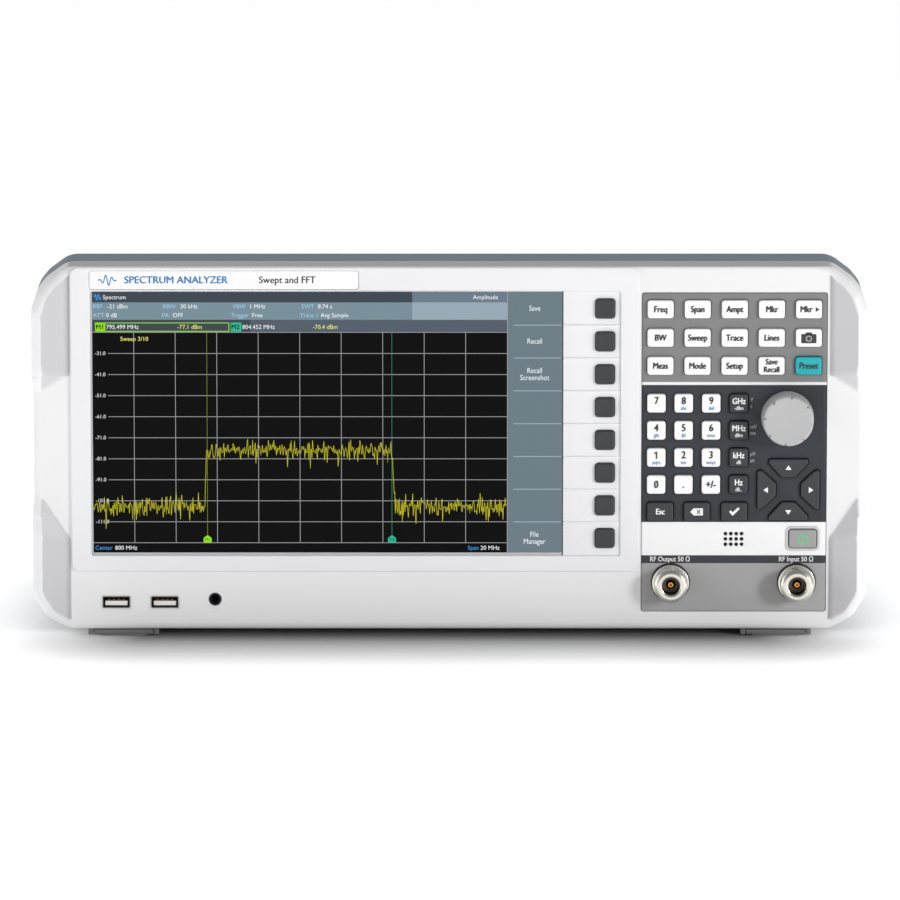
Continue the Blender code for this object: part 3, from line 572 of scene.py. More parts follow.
def build_bezel():
    """The moulded bezel: rim, bumpers, flat face with its openings, and the inner wall."""
    bm = loft(bezel_rings(), caps=False)
    bmesh.ops.remove_doubles(bm, verts=bm.verts, dist=1e-6)

    def on_face(vertex):
        return abs(vertex.co.y - BEZEL_FACE * MM) < 1e-7

    # A narrow flat band inside the valley keeps the shading of the flat face even.
    middle_z = (INNER[2] + INNER[3]) / 2 * MM
    corner = [v for v in bm.verts if on_face(v) and v.is_boundary]
    corner.sort(key=lambda v: math.atan2(v.co.z - middle_z, v.co.x))
    places = [inside(v.co.x / MM, v.co.z / MM, 1.0) * MM for v in corner]
    band = [bm.verts.new((p.x, BEZEL_FACE * MM, p.y)) for p in places]
    for i in range(len(corner)):
        bm.faces.new((corner[i - 1], corner[i], band[i], band[i - 1]))
    bmesh.ops.remove_doubles(bm, verts=bm.verts, dist=1e-6)
    outer = [e for e in bm.edges if e.is_boundary and all(on_face(v) for v in e.verts)]

    gap = 0.3
    pocket = rectangle(PANEL_LOW.x - gap, PANEL_HIGH.x + gap, PANEL_LOW.z - gap, PANEL_HIGH.z + gap, 1.2)
    under_plate = rectangle(PLATE[0] + 3, PLATE[1] - 3, PLATE[2] + 3, PLATE[3] - 3, 1.0)
    outlines = [pocket, under_plate, circle(*JACK, 4.3, 40)]
    outlines += [centred(x, USB_Z, USB_SIZE[0] + 0.5, USB_SIZE[1] + 0.5, 0.7) for x in USB_X]
    front_edges = []
    back_edges = []
    for outline in outlines:
        near, far = hole_wall(bm, outline, BEZEL_FACE, WALL_BACK)
        front_edges += near
        back_edges += far
    bmesh.ops.triangle_fill(bm, edges=outer + front_edges, use_beauty=True)
    near, _ = hole_wall(bm, grown(silhouette(), -WALL), WALL_BACK, BEZEL_BACK)
    bmesh.ops.triangle_fill(bm, edges=near + back_edges, use_beauty=True)
    bmesh.ops.bridge_loops(bm, edges=[e for e in bm.edges if e.is_boundary])
    piece("bezel_moulding", bm, bezel_painted_shade_material(), slot="bezel_white", angle=28.0, replaces="front_bezel")


FOOT_AXIS = (-53.0, 2.0)


def rod(radius, low_x, high_x, y, z, steps=32):
    """A bmesh rod along X with chamfered ends."""
    edge = min(0.2, radius / 3)
    half = [(low_x, radius - edge), (low_x + edge, radius)]
    ends = half + [(high_x - edge, radius), (high_x, radius - edge)]
    return loft([[(x, p.x, p.y) for p in circle(y, z, reach, steps)] for x, reach in ends])


def build_feet():
    """The folded tilt feet on their pins, and the lugs under the bezel that hold them."""
    y, z = FOOT_AXIS
    for side in ("left", "right"):
        node = f"tilt_foot_{side}"
        low, high = node_box(node)
        left, right, back = low.x + 2.4, high.x - 2.4, high.y
        parts = [rod(1.7, left, right, y, z), rod(0.8, low.x, high.x, y, z, 20)]
        for arm in (left + 0.1, right - 5.1):
            parts.append(block((arm, y + 0.4, 0.3), (arm + 5.0, back - 2.0, 3.1), 0.5))
        parts.append(block((left + 0.1, back - 6.0, 0.2), (right - 0.1, back, 3.4), 0.7))
        parts.append(block((left + 4.5, y + 1.2, 1.2), (right - 4.5, back - 5.0, 2.6), 0.2))
        for rib in (8.0, 14.0, 20.0):
            parts.append(block((left + rib - 0.5, y + 1.5, 0.6), (left + rib + 0.5, back - 5.5, 2.9), 0.2))
        parts.append(block((left + 3.0, y - 1.3, 0.0), (right - 3.0, y + 4.0, 1.2), 0.4))
        piece(f"{node}_leg", merged(parts), FOOT, node, "foot_grey", replaces=node)
        lug_x = (low.x + 0.85, high.x - 0.85)
        lugs = [block((x - 1.25, y - 1.8, 0.6), (x + 1.25, y + 1.8, BOTTOM + 0.6), 0.5) for x in lug_x]
        piece(f"foot_lugs_{side}", merged(lugs), FOOT, slot="foot_grey")


def build_display_plate():
    """The raised plate round the display, with its badge and its soft-key recess."""
    left, right, bottom, top = SCREEN
    window = rectangle(left - 0.9, RECESS[1], bottom - 1.4, top + 0.3, 0.9)
    badge = rectangle(*BADGE, 1.5)
    surround = [rectangle(*PLATE, 4.0, 10), window, badge]
    behind = BEZEL_FACE + 1.0
    plate("display_surround", surround, PLATE_FACE, behind, PLATE_WHITE, 0.45, 4, slot="bezel_white")
    plate("badge_inlay", [grown(badge, -0.15)], PLATE_FACE + 0.45, BEZEL_FACE, BADGE_WHITE, 0.1, 2)
    key_floor = [rectangle(RECESS[0], RECESS[1] + 0.2, RECESS[2] - 0.2, RECESS[3] + 0.2, 0.4)]
    for node in SOFT_KEYS:
        low, high = node_box(node)
        width, height = high.x - low.x - 2 * LIP, high.z - low.z - 2 * LIP
        key_floor.append(centred(*spot(node), width + 0.6, height + 0.6, 1.7))
    plate("soft_key_floor", key_floor, -60.0, -56.5, PLATE_WHITE, 0.15, 2, slot="bezel_white")
    ribs = []
    for z in soft_key_gaps():
        ribs.append(block((RECESS[0] + 0.1, -60.55, z - 1.05), (RECESS[1] - 0.1, -59.9, z + 0.05), 0.25))
    piece("soft_key_ribs", merged(ribs), PLATE_WHITE, slot="bezel_white")
    # The grey step under and beside the glass.
    step = [rectangle(left - 1.1, right + 0.1, bottom - 1.6, top + 0.4, 0.6), rectangle(*SCREEN, 0.3)]
    step_grey = surface("step_grey", srgb(186, 186, 188), 0.4, tint=0.02)
    plate("display_step", step, -60.0, behind, step_grey, 0.05, 1)
    # A dark strip along the display's right side: a painted shadow of the wall between the display and the
    # soft-key recess.
    edge = rectangle(right - 0.05, right + 0.75, bottom, top)
    plate("display_painted_shadow_edge", [edge], -59.97, behind, DARK, 0.05, 1)


def soft_key_gaps():
    """The heights midway between the soft keys, from the top."""
    heights = [spot(node).y for node in SOFT_KEYS]
    return [(upper + lower) / 2 for upper, lower in zip(heights, heights[1:])]


# ---------------------------------------------------------------- keypad panel

PANEL_GREY = srgb(130)
# The printed bands under the grey one at the top: the height where each starts, and its colour.
BANDS = (
    (123.0, srgb(240)),
    (121.6, srgb(40, 46, 54)),
    (55.8, srgb(250)),
    (39.8, srgb(46, 50, 57)),
    (36.0, srgb(167)),
)
SPEAKER = (134.6, 47.6)
KEY_FACE = -61.4
POWER_FACE = -60.9
PRINT = KEY_FACE - 0.02
PANEL_PRINT = PANEL_LOW.y - 0.02
ARROWS = ("right", "up", "left", "down")
FUNCTION_KEYS = {
    "frequency_key": "Freq", "span_key": "Span", "amplitude_key": "Ampt", "marker_key": "Mkr",
    "marker_to_key": "Mkr", "bandwidth_key": "BW", "sweep_key": "Sweep", "trace_key": "Trace",
    "lines_key": "Lines", "screenshot_key": "", "measure_key": "Meas", "mode_key": "Mode",
    "setup_key": "Setup", "save_recall_key": "", "preset_key": "Preset",
}
NUMBER_KEYS = {
    "7": "", "8": "abc", "9": "def", "4": "ghi", "5": "jkl", "6": "mno", "1": "pqrs", "2": "tuv", "3": "wxyz",
    "0": "", "point": "", "sign": "",
}
UNIT_KEYS = {"ghz": ("GHz", "-dBm"), "mhz": ("MHz", "dBm"), "khz": ("kHz", "dB"), "hz": ("Hz", "dB..")}
SIDE_UNITS = {"ghz": ("V", "s"), "mhz": ("mV", "ms"), "khz": ("µV", "µs")}
SOFT_KEYS = [f"soft_key_{i}" for i in range(1, 9)]
DARK_KEYS = [f"unit_key_{unit}" for unit in UNIT_KEYS]
DARK_KEYS += ["escape_key", "backspace_key", "enter_key", *("arrow_" + way for way in ARROWS)]
PANEL_KEYS = [*FUNCTION_KEYS, *("key_" + name for name in NUMBER_KEYS), *DARK_KEYS, "power_button"]
SPECIAL_KEYS = {"preset_key": (KEY_TEAL, "teal_key"), "power_button": (KEY_GREY, "power_key")}


def zone_material():
    """The panel's printed bands, told apart by height, with fine specks."""
    made = surface("keypad_print", PANEL_GREY, 0.5, 1500.0, 0.14, tint=0.0)
    tree, shader, place = parts_of(made)
    height = axes_of(tree, place["Object"])["Z"]
    speck = node_of(tree, "TexNoise", Vector=place["Object"], Scale=2600.0, Detail=2.0)
    bands = PANEL_GREY
    for start, colour in BANDS:
        bands = mix(tree, maths(tree, "LESS_THAN", height, start * MM), bands, colour)
    feed(shader, Base_Color=mix(tree, 0.10, bands, speck.outputs["Color"], "MULTIPLY"))
    return made


def arrow_centre():
    """The middle of the cross that the four arrow keys form."""
    left, right = node_box("arrow_left")[0].x, node_box("arrow_right")[1].x
    low, high = node_box("arrow_down")[0].z, node_box("arrow_up")[1].z
    return Vector((left + right, low + high)) / 2


def cap_outline(node, radius):
    if node.startswith("arrow_"):
        half = [(5.9, -3.05, 1.4), (12.7, -9.25, 0.9), (14.7, -9.25, 0.9)]
        corners = half + [(x, -z, radius) for x, z, radius in reversed(half)]
        return quarter_turned(rounded_polygon(corners, 4), ARROWS.index(node[6:]), *arrow_centre())
    low, high = node_box(node)
    return rectangle(low.x + LIP, high.x - LIP, low.z + LIP, high.z - LIP, radius)


def cap_mesh(outline, face, base, edge=0.55, dish=0.12):
    """A key cap: straight sides, a rounded edge and a faintly dished top."""
    rings = [[(p.x, base, p.y) for p in outline]]
    steps = 4
    for step in range(steps + 1):
        angle = math.pi / 2 * step / steps
        inset = grown(outline, -edge * (1 - math.cos(angle)))
        rings.append([(p.x, face + edge * (1 - math.sin(angle)), p.y) for p in inset])
    top = grown(outline, -edge)
    centre = sum(top, Vector((0.0, 0.0))) / len(top)
    for share, depth in ((0.85, 0.25), (0.55, 0.8), (0.2, 1.0)):
        places = [centre + (p - centre) * share for p in top]
        rings.append([(p.x, face + dish * depth, p.y) for p in places])
    return loft(rings)


def build_caps():
    for node in SOFT_KEYS:
        cap = cap_mesh(cap_outline(node, 1.6), -61.6, -56.0)
        piece(f"{node}_cap", cap, KEY_DARK, node, "dark_key", replaces=node)
    for node in PANEL_KEYS:
        plain = (KEY_DARK, "dark_key") if node in DARK_KEYS else (KEY_WHITE, "white_key")
        material, slot = SPECIAL_KEYS.get(node, plain)
        radius, face = (1.2, POWER_FACE) if node == "power_button" else (1.3, KEY_FACE)
        cap = cap_mesh(cap_outline(node, radius), face, -57.6)
        piece(f"{node}_cap", cap, material, node, slot, replaces=node)


def printed(node, text, z, height, bold, x=0.0):
    """Lettering on a key, placed from the key's middle."""
    middle = spot(node)
    return lettering(text, middle.x + x, middle.y + z, height, PRINT, bold)


def icon(node, points, front=PRINT):
    """A flat shape on a key, round the key's middle."""
    return flat_shape(points, front, *spot(node))


def legend(node, parts, material, tag="legend"):
    """Printed lettering or an icon that moves with its key."""
    piece(f"{node}_{tag}", merged(parts), material, node, "print_ink")


def triangle(x, z, size, quarters=0):
    corners = ((size * 0.55, 0.0), (-size * 0.4, size * 0.62), (-size * 0.4, -size * 0.62))
    return quarter_turned(corners, quarters, x, z)


def build_legends():
    for node, text in FUNCTION_KEYS.items():
        if node == "screenshot_key":
            hump = [(-1.2, 2.7), (1.2, 2.7), (1.9, 1.6), (-1.9, 1.6)]
            legend(node, [icon(node, centred(0.0, -0.3, 7.2, 4.4, 0.5)), icon(node, hump)], INK_BLACK)
            x, z = spot(node)
            ring = [circle(x, z - 0.3, radius, 32) for radius in (1.5, 0.95)]
            legend(node, [curve_solid(ring, PRINT - 0.02, PRINT + 0.02, 0.0)], INK_GREY, "lens")
            continue
        if node == "save_recall_key":
            parts = [printed(node, "Save", 1.95, 2.75, 0.17), printed(node, "Recall", -1.75, 2.75, 0.17)]
        elif node == "marker_to_key":
            parts = [printed(node, text, 0.0, 3.0, 0.19, -1.3), icon(node, triangle(3.9, 0.0, 1.9))]
        else:
            parts = [printed(node, text, 0.0, 3.0, 0.19)]
        legend(node, parts, INK_BLACK)
    for name, letters in NUMBER_KEYS.items():
        node = "key_" + name
        lift = 1.2 if letters or name == "7" else 0.0
        parts = [printed(node, {"point": ".", "sign": "+/-"}.get(name, name), lift, 3.5, 0.2)]
        if name == "1":
            # The font's own 1 is a bare stroke, so this one gets its flag.
            stem = [(-0.25, -1.75), (0.45, -1.75), (0.45, 1.75), (-0.05, 1.75)]
            flag = [(-1.05, 1.15), (-1.05, 0.5), (-0.25, 0.85)]
            parts = [icon(node, [(x, z + lift) for x, z in stem + flag])]
        legend(node, parts, INK_BLACK)
        if letters:
            legend(node, [printed(node, letters, -2.35, 1.8, 0.05)], INK_BLUE, "letters")
    for name, (unit, level) in UNIT_KEYS.items():
        node = "unit_key_" + name
        legend(node, [printed(node, unit, 1.0, 2.9, 0.11), printed(node, level, -2.3, 1.75, 0.04)], INK_WHITE)
    for name, units in SIDE_UNITS.items():
        node = "unit_key_" + name
        x, z = node_box(node)[1].x + 0.3, spot(node).y
        rows = zip(units, (z + 1.5, z - 1.5))
        parts = [lettering(unit, x, row, 1.9, PANEL_PRINT, 0.03, "LEFT") for unit, row in rows]
        piece(f"{node}_side_print", merged(parts), INK_GREY, slot="print_ink")
    legend("escape_key", [printed("escape_key", "Esc", 0.0, 2.8, 0.14)], INK_WHITE)
    tag = [(-3.1, 0.0), (-1.5, -1.7), (2.9, -1.7), (2.9, 1.7), (-1.5, 1.7)]
    legend("backspace_key", [icon("backspace_key", tag)], INK_WHITE)
    stroke = [(-0.9, -1.1), (-0.6, -1.1), (0.9, 0.8), (0.9, 1.1), (0.6, 1.1), (-0.9, -0.8)]
    strokes = [[(0.9 + way * x, z) for x, z in stroke][::way] for way in (-1, 1)]
    cross = [icon("backspace_key", points, PRINT - INK) for points in strokes]
    legend("backspace_key", cross, KEY_DARK, "cross")
    tick = [(-0.7, -1.9), (2.6, 1.5), (1.9, 2.2), (-0.7, -0.2), (-1.6, 0.8), (-2.4, 0.0)]
    legend("enter_key", [icon("enter_key", tick)], INK_WHITE)
    for quarters, way in enumerate(ARROWS):
        (place,) = quarter_turned([(10.6, 0.0)], quarters, *arrow_centre())
        legend(f"arrow_{way}", [flat_shape(triangle(*place, 2.3, quarters), PRINT)], INK_WHITE)
    start, end = math.radians(125), math.radians(415)
    turns = [start + (end - start) * i / 32 for i in range(33)]
    outer, inner = [[(reach * math.cos(t), reach * math.sin(t) - 0.2) for t in turns] for reach in (2.5, 1.8)]
    shapes = (outer + inner[::-1], centred(0.0, 1.5, 0.75, 2.6, 0.3, 3))
    parts = [icon("power_button", shape, POWER_FACE - INK) for shape in shapes]
    legend("power_button", parts, POWER_LIGHT, "symbol")


def build_panel():
    """The printed panel: one plate with an opening for every key, the knob, the sockets and the speaker."""
    outlines = [rectangle(PANEL_LOW.x, PANEL_HIGH.x, PANEL_LOW.z, PANEL_HIGH.z, 1.0)]
    outlines += [grown(cap_outline(node, 1.3), 0.35) for node in PANEL_KEYS]
    outlines.append(circle(*spot("rotary_knob"), 3.5, 32))
    outlines += [circle(*spot(node), 6.8) for node in RF_SOCKETS]
    pitch = 2.55
    for column in range(4):
        for row in range(3):
            x, z = SPEAKER[0] + (column - 1.5) * pitch, SPEAKER[1] + (row - 1) * pitch
            outlines.append(circle(x, z, 0.95, 20))
    front, back = PANEL_LOW.y, PANEL_HIGH.y
    panel = curve_solid(outlines, front, back, 0.12, 2)
    piece("keypad_plate", panel, zone_material(), slot="panel_grey", replaces="keypad_panel")
    sizes = ((16.2, 11.8, 2.4), (13.9, 9.6, 1.6))
    ring = [centred(*spot("power_button"), *size, 8) for size in sizes]
    surround_grey = surface("surround_grey", srgb(205, 205, 206), 0.4, tint=0.02)
    plate("power_surround", ring, -60.15, -59.5, surround_grey, 0.25)
    plate("speaker_cloth", [circle(*SPEAKER, 6.3)], back + 0.1, back + 0.5, DARK, 0.1, 1)
    names = []
    for node, text in RF_SOCKETS.items():
        names.append(lettering(text, spot(node).x - 0.3, 37.85, 2.35, PANEL_PRINT, 0.035, narrow=0.86))
    piece("socket_names", merged(names), INK_WHITE, slot="print_ink")


# ---------------------------------------------------------------- knob and sockets

RF_SOCKETS = {"rf_output_connector": "RF Output 50 Ω", "rf_input_connector": "RF Input 50 Ω"}


def build_knob():
    """The knob's turned body with eight small notches round its face."""
    low, high = node_box("rotary_knob")
    face, back = low.y, high.y
    notch_depth, notch_end = 1.1, face + 2.4

    def notched(angle, radius, y):
        if y > notch_end or radius < 10.5:
            return 0.0
        apart = abs((math.degrees(angle) + 29.5) % 45 - 22.5)
        return -notch_depth * smooth(1 - apart / 5.0) * smooth((notch_end - y) / 0.8)

    corners = [
        (0.3, face + 0.45, 0), (8.5, face + 0.2, 2.0), (11.2, face, 0.4), (11.9, face + 0.7, 0.5),
        (12.05, face + 2.6, 0.2), (12.4, -61.4, 0.2), (12.5, -60.5, 0.3), (12.2, -60.1, 0.1),
        (3.0, -60.1, 0.1), (3.0, back, 0.1), (0.3, back, 0),
    ]
    profile = rounded_profile(corners)
    dense = []
    for (r0, y0), (r1, y1) in zip(profile, profile[1:]):
        count = max(1, int(math.hypot(r1 - r0, y1 - y0) / 0.7)) if y0 < face + 3.0 else 1
        dense += [(r0 + (r1 - r0) * i / count, y0 + (y1 - y0) * i / count) for i in range(count)]
    bm = turned(dense + profile[-1:], *spot("rotary_knob"), 240, notched)
    piece("knob_body", bm, KNOB_GREY, "rotary_knob", "knob_grey", 40.0, "rotary_knob")


def build_rf_sockets():
    """Two N sockets: a threaded shell with a flange, an insulator and a slotted centre contact."""
    thread_radius, pitch, thread_depth = 7.95, 1.058, 0.42
    for node in RF_SOCKETS:
        x, z = spot(node)
        low, high = node_box(node)
        face, panel, back = low.y, PANEL_LOW.y, high.y - 0.2

        def thread(angle, radius, y, start=face + 1.6, end=panel - 3.4):
            if radius < 7.7 or not start < y < end:
                return 0.0
            phase = (y / pitch - angle / math.tau) % 1.0
            fading = smooth((y - start) / 0.6) * smooth((end - y) / 0.6)
            return -thread_depth * (1 - abs(2 * phase - 1)) * fading

        def slotted(angle, radius, y):
            return -0.25 * smooth(1 - abs((math.degrees(angle) % 90) - 45) / 6) if radius > 1.2 else 0.0

        mouth = [(4.3, 3.0, 0), (4.2, 0.4, 0.3), (4.9, 0.0, 0.4), (6.4, 0.0, 0.5)]
        mouth += [(thread_radius, 1.0, 0.4), (thread_radius, 1.5, 0)]
        outer = rounded_profile(mouth, 5, face)
        start, end, count = face + 1.5, panel - 2.9, 44
        outer += [(thread_radius, start + (end - start) * i / count) for i in range(1, count + 1)]
        flange = [(thread_radius, -2.4, 0), (8.75, -2.35, 0.15), (8.75, -0.35, 0.15), (6.4, -0.3, 0)]
        outer += rounded_profile(flange, 3, panel)
        outer += [(6.4, back), (4.0, back), (4.0, face + 9.4), (4.3, face + 9.4)]
        piece(f"{node}_shell", tube(outer, x, z, 112, thread), NICKEL, slot="nickel", replaces=node)
        # A dark ring, set a little high, behind each socket's flange: a painted shadow of the gap between the
        # socket and the panel.
        shadow_ring_outlines = [circle(x, z + 0.1, 9.3, 64), circle(x, z, 6.6, 64)]
        plate(f"{node}_painted_shadow_ring", shadow_ring_outlines, panel - 0.45, panel + 0.2, DARK, 0.15, 2)
        ring = [(2.2, 6.2), (3.95, 6.2), (4.15, 6.6), (4.15, 9.0), (2.2, 9.0)]
        piece(f"{node}_insulator", tube([(r, face + y) for r, y in ring], x, z, 64), INSULATOR)
        pin = [(0.75, 8.0, 0), (0.75, 4.8, 0.1), (1.25, 4.8, 0.15), (1.4, 5.3, 0.1)]
        pin += [(1.4, 9.3, 0), (0.75, 9.3, 0)]
        piece(f"{node}_contact", turned(rounded_profile(pin, 3, face), x, z, 72, slotted), GOLD)


def build_ports():
    """Both USB sockets and the phone jack on the small board that carries them."""
    low, high = node_box("front_io_module")
    board = block((low.x, low.y + 5.0, 10.6), (high.x, high.y, 12.2), 0.15)
    piece("front_io_board", board, BOARD, slot="circuit_board", replaces="front_io_module")
    width, height = USB_SIZE
    face, back = BEZEL_FACE, -50.8
    for i, x in enumerate(USB_X, 1):
        outer = centred(x, USB_Z, width, height, 0.7)
        inner = centred(x, USB_Z, width - 0.7, height - 0.7, 0.4)
        plate(f"usb_shell_{i}", [outer, inner], face - 0.2, -45.0, STEEL, 0.12, 2)
        plate(f"usb_inside_{i}", [grown(inner, -0.02)], -51.0, -45.2, DARK, 0.05, 1)
        piece(f"usb_tongue_{i}", bar(x, USB_Z - 0.6, 10.6, 2.2, face + 0.7, back, 0.2), TONGUE)
        piece(f"usb_contact_bed_{i}", bar(x, USB_Z + 0.71, 10.6, 0.38, face + 0.7, back, 0.1), DARK)
        places = (x - 3.45, x - 1.15, x + 1.15, x + 3.45)
        contacts = [bar(place, USB_Z + 1.025, 1.0, 0.35, face + 1.4, -51.0, 0.08) for place in places]
        piece(f"usb_contacts_{i}", merged(contacts), GOLD)
        lining = [grown(inner, -0.02), centred(x, USB_Z, width - 1.5, height - 1.5, 0.15)]
        plate(f"usb_lining_{i}", lining, face + 0.3, back, DARK, 0.05, 1)
        rim = [grown(outer, 0.95), grown(outer, 0.05)]
        plate(f"usb_rim_{i}", rim, face - 0.1, face + 0.5, WHITE, 0.08, 2)
    barrel = [(0.9, 11.5, 0), (0.9, 3.0, 0), (2.0, 1.0, 0.2), (2.3, -0.1, 0.15), (3.1, -0.1, 0.2)]
    barrel = rounded_profile(barrel + [(3.1, 11.5, 0)], 4, face)
    piece("jack_barrel", turned(barrel, *JACK, 72), DARK)
    rim = [circle(*JACK, radius, 64) for radius in (4.6, 3.12)]
    plate("jack_rim", rim, face - 0.12, face + 1.5, PLATE_WHITE, 0.12, 2)


# ---------------------------------------------------------------- display content and badge

GLASS_FACE = node_box("display_module")[0].y
LAYER = 0.03  # how far each layer of the picture stands in front of the one below
PLOT = (-168.8, 27.2, 45.9, 146.8)


def lit(name, parts, colour, strength=0.9):
    piece(f"screen_{name}", merged(parts), glowing(f"screen_{name}_glow", srgb(*colour), strength))


def fill(name, boxes, layer, colour, strength=0.9):
    """Lit boxes, each given by its low x, high x, low z and high z."""
    front = GLASS_FACE - LAYER * layer
    lit(name, [curve_solid([rectangle(*box)], front, front + 0.05, 0.0) for box in boxes], colour, strength)


def write(name, entries, height, layer, colour, strength=1.0, bold=0.0, align="LEFT", narrow=1.0):
    """Lit words in one colour, from (text, x, z) entries."""
    front = GLASS_FACE - LAYER * layer
    lit(name, [lettering(*entry, height, front, bold, align, narrow) for entry in entries], colour, strength)


def ribbon(points, width, front):
    """A flat line through points, as a closed thin strip."""
    rings = []
    for i, here in enumerate(points):
        along = (points[min(i + 1, len(points) - 1)] - points[max(i - 1, 0)]).normalized()
        aside = Vector((-along.y, along.x)) * width / 2
        (x0, z0), (x1, z1) = here + aside, here - aside
        rings.append([(x0, front, z0), (x1, front, z1), (x1, front + INK, z1), (x0, front + INK, z0)])
    return loft(rings)


def trace_height(x, start, end):
    """The noisy trace: a floor, and a plateau between the two markers."""
    floor, plateau, slope = 63.6, 90.4, 1.6
    rise = smooth((x - start + slope) / slope) * smooth((end + slope - x) / slope)
    noise = MAKER.gauss(0.0, 1.0)
    spread = 2.5 - 0.6 * rise
    dip = -abs(MAKER.gauss(0.0, 3.4)) if MAKER.random() < 0.12 else 0.0
    return floor + (plateau - floor) * rise + noise * spread + dip


def build_screen():
    """The picture under the glass: bars, grid, markers, trace, readings and the menu beside the soft keys."""
    left, right, bottom, top = SCREEN
    plot_left, plot_right, plot_low, plot_high = PLOT
    title, status, split = 161.1, 152.8, -17.6
    fill("black", [(left, plot_right + 0.4, bottom, plot_high)], 1, (14, 14, 15), 0.6)
    fill("title", [(left, split, title, top), (left, plot_right, plot_high, status)], 1, (66, 76, 86))
    fill("title_right", [(split, plot_right, title, top)], 1, (112, 128, 143))
    fill("status", [(left, split, status, title)], 1, (125, 148, 160))
    fill("status_right", [(split, plot_right, status, title)], 1, (156, 175, 188))
    fill("menu", [(plot_right + 0.4, right, bottom, top)], 1, (113, 130, 139))
    fill("marker_row", [(-94.0, plot_right, plot_high, status)], 1.5, (88, 99, 111))

    step_x = (plot_right - plot_left) / 10
    step_z = (plot_high - plot_low) / 10
    thin = 0.14
    lines = []
    for x in (plot_left + step_x * i for i in range(1, 10)):
        lines.append((x - thin, x + thin, plot_low, plot_high))
    for i in range(11):
        z = plot_low + step_z * i
        lines.append((plot_left + (7.4 if 0 < i < 10 else 0.0), plot_right, z - thin, z + thin))
    lines.append((plot_right, plot_right + 0.35, bottom, top))
    fill("grid", lines, 2, (172, 172, 174), 0.85)
    fill("dividers", [(30.2, right - 0.3, z - 0.3, z + 0.1) for z in soft_key_gaps()], 2, (165, 185, 196))

    start, end = -114.7, -27.3
    for name, x, colour in (("1", start, (130, 150, 40)), ("2", end, (60, 150, 120))):
        fill("marker_line_" + name, [(x - 0.12, x + 0.12, plot_low + 3, plot_high)], 3, colour, 0.8)
    count = 760
    points = []
    for i in range(count + 1):
        x = plot_left + 0.1 + (plot_right - plot_left - 0.2) * i / count
        points.append(Vector((x, trace_height(x, start, end))))
    lit("trace", [ribbon(points, 0.17, GLASS_FACE - LAYER * 4)], (220, 216, 40), 1.0)
    tag = [(-1.9, 0.0), (1.9, 0.0), (1.9, 2.3), (0.0, 3.7), (-1.9, 2.3)]
    for name, x, colour in (("1", start, (150, 235, 30)), ("2", end, (40, 190, 150))):
        lit("marker_tag_" + name, [flat_shape(tag, GLASS_FACE - LAYER * 5, x, plot_low)], colour)
    tag_z = plot_low + 1.5
    write("tag_text", [("M1", start, tag_z), ("M2", end, tag_z)], 1.3, 6, (20, 40, 10), 0.9, align="CENTER")

    low, high = 147.1, 151.5
    frame_boxes = [(-167.4, -162.5, low, high), (-167.4, -104.0, high - 0.4, high)]
    frame_boxes += [(-167.4, -104.0, low, low + 0.4), (-104.4, -104.0, low, high)]
    fill("marker_1", frame_boxes, 3, (150, 225, 30))
    fill("marker_2", [(-103.3, -98.3, low, high)], 3, (50, 190, 150))
    marker_z = (low + high) / 2
    names = [("M1", -167.1, marker_z), ("M2", -103.1, marker_z)]
    write("marker_names", names, 2.2, 5, (20, 30, 20), 0.9, 0.08)
    # Two rows of settings, from the left: a label and its value, each with its x.
    rows = (159.1, 154.9)
    settings = (
        ("REF", -168.4, "-21 dBm", -161.6), ("ATT", -168.4, "0 dB", -162.2),
        ("RBW", -135.4, "30 kHz", -127.2), ("PA", -135.8, "OFF", -130.8),
        ("VBW", -102.4, "1 MHz", -94.6), ("Trigger", -103.2, "Free", -93.4),
        ("SWT", -69.9, "8.74 s", -62.2), ("Trace 1", -70.7, "Avg Sample", -60.9),
    )
    title_z, foot_z = 163.5, 43.4
    labels = [(label, x, rows[i % 2]) for i, (label, x, _, _) in enumerate(settings)]
    values = [("Spectrum", -163.7, title_z)]
    values += [(value, x, rows[i % 2]) for i, (_, _, value, x) in enumerate(settings)]
    values += [("795.499 MHz", -162.2, marker_z), ("804.452 MHz", -97.9, marker_z)]
    values += [("Amplitude", 11.0, title_z), ("800 MHz", -158.6, foot_z), ("20 MHz", 14.6, foot_z)]
    write("values", values, 2.0, 4, (238, 242, 244))
    write("labels", labels, 2.0, 4, (150, 205, 236))
    write("foot_labels", [("Center", -168.0, foot_z), ("Span", 8.6, foot_z)], 2.0, 4, (70, 150, 215))
    levels = [("-77.1 dBm", -128.6, marker_z), ("-70.4 dBm", -64.6, marker_z), ("Sweep 3/10", -155.6, 143.6)]
    write("levels", levels, 2.0, 4, (235, 232, 120))
    scale = [(f"-{31 + 10 * i}.0", -167.6, plot_high - step_z * (i + 1)) for i in range(9)]
    write("scale", scale, 1.75, 4, (225, 225, 228))
    # Each entry's soft key, and its line above or below the key's middle.
    menu = [("Save", 1, 0), ("Recall", 2, 0), ("Recall", 3, 1), ("Screenshot", 3, -1)]
    menu += [("File", 8, 1), ("Manager", 8, -1)]
    entries = [(text, 40.2, spot(f"soft_key_{key}").y + 1.7 * line) for text, key, line in menu]
    write("menu_words", entries, 2.5, 4, (240, 243, 245), align="CENTER", narrow=0.86)
    wave = [Vector((-167.6 + 0.10 * i, 163.6 + 1.3 * math.sin(i * 0.42))) for i in range(31)]
    lit("wave_icon", [ribbon(wave, 0.45, GLASS_FACE - LAYER * 4)], (60, 150, 220), 1.0)


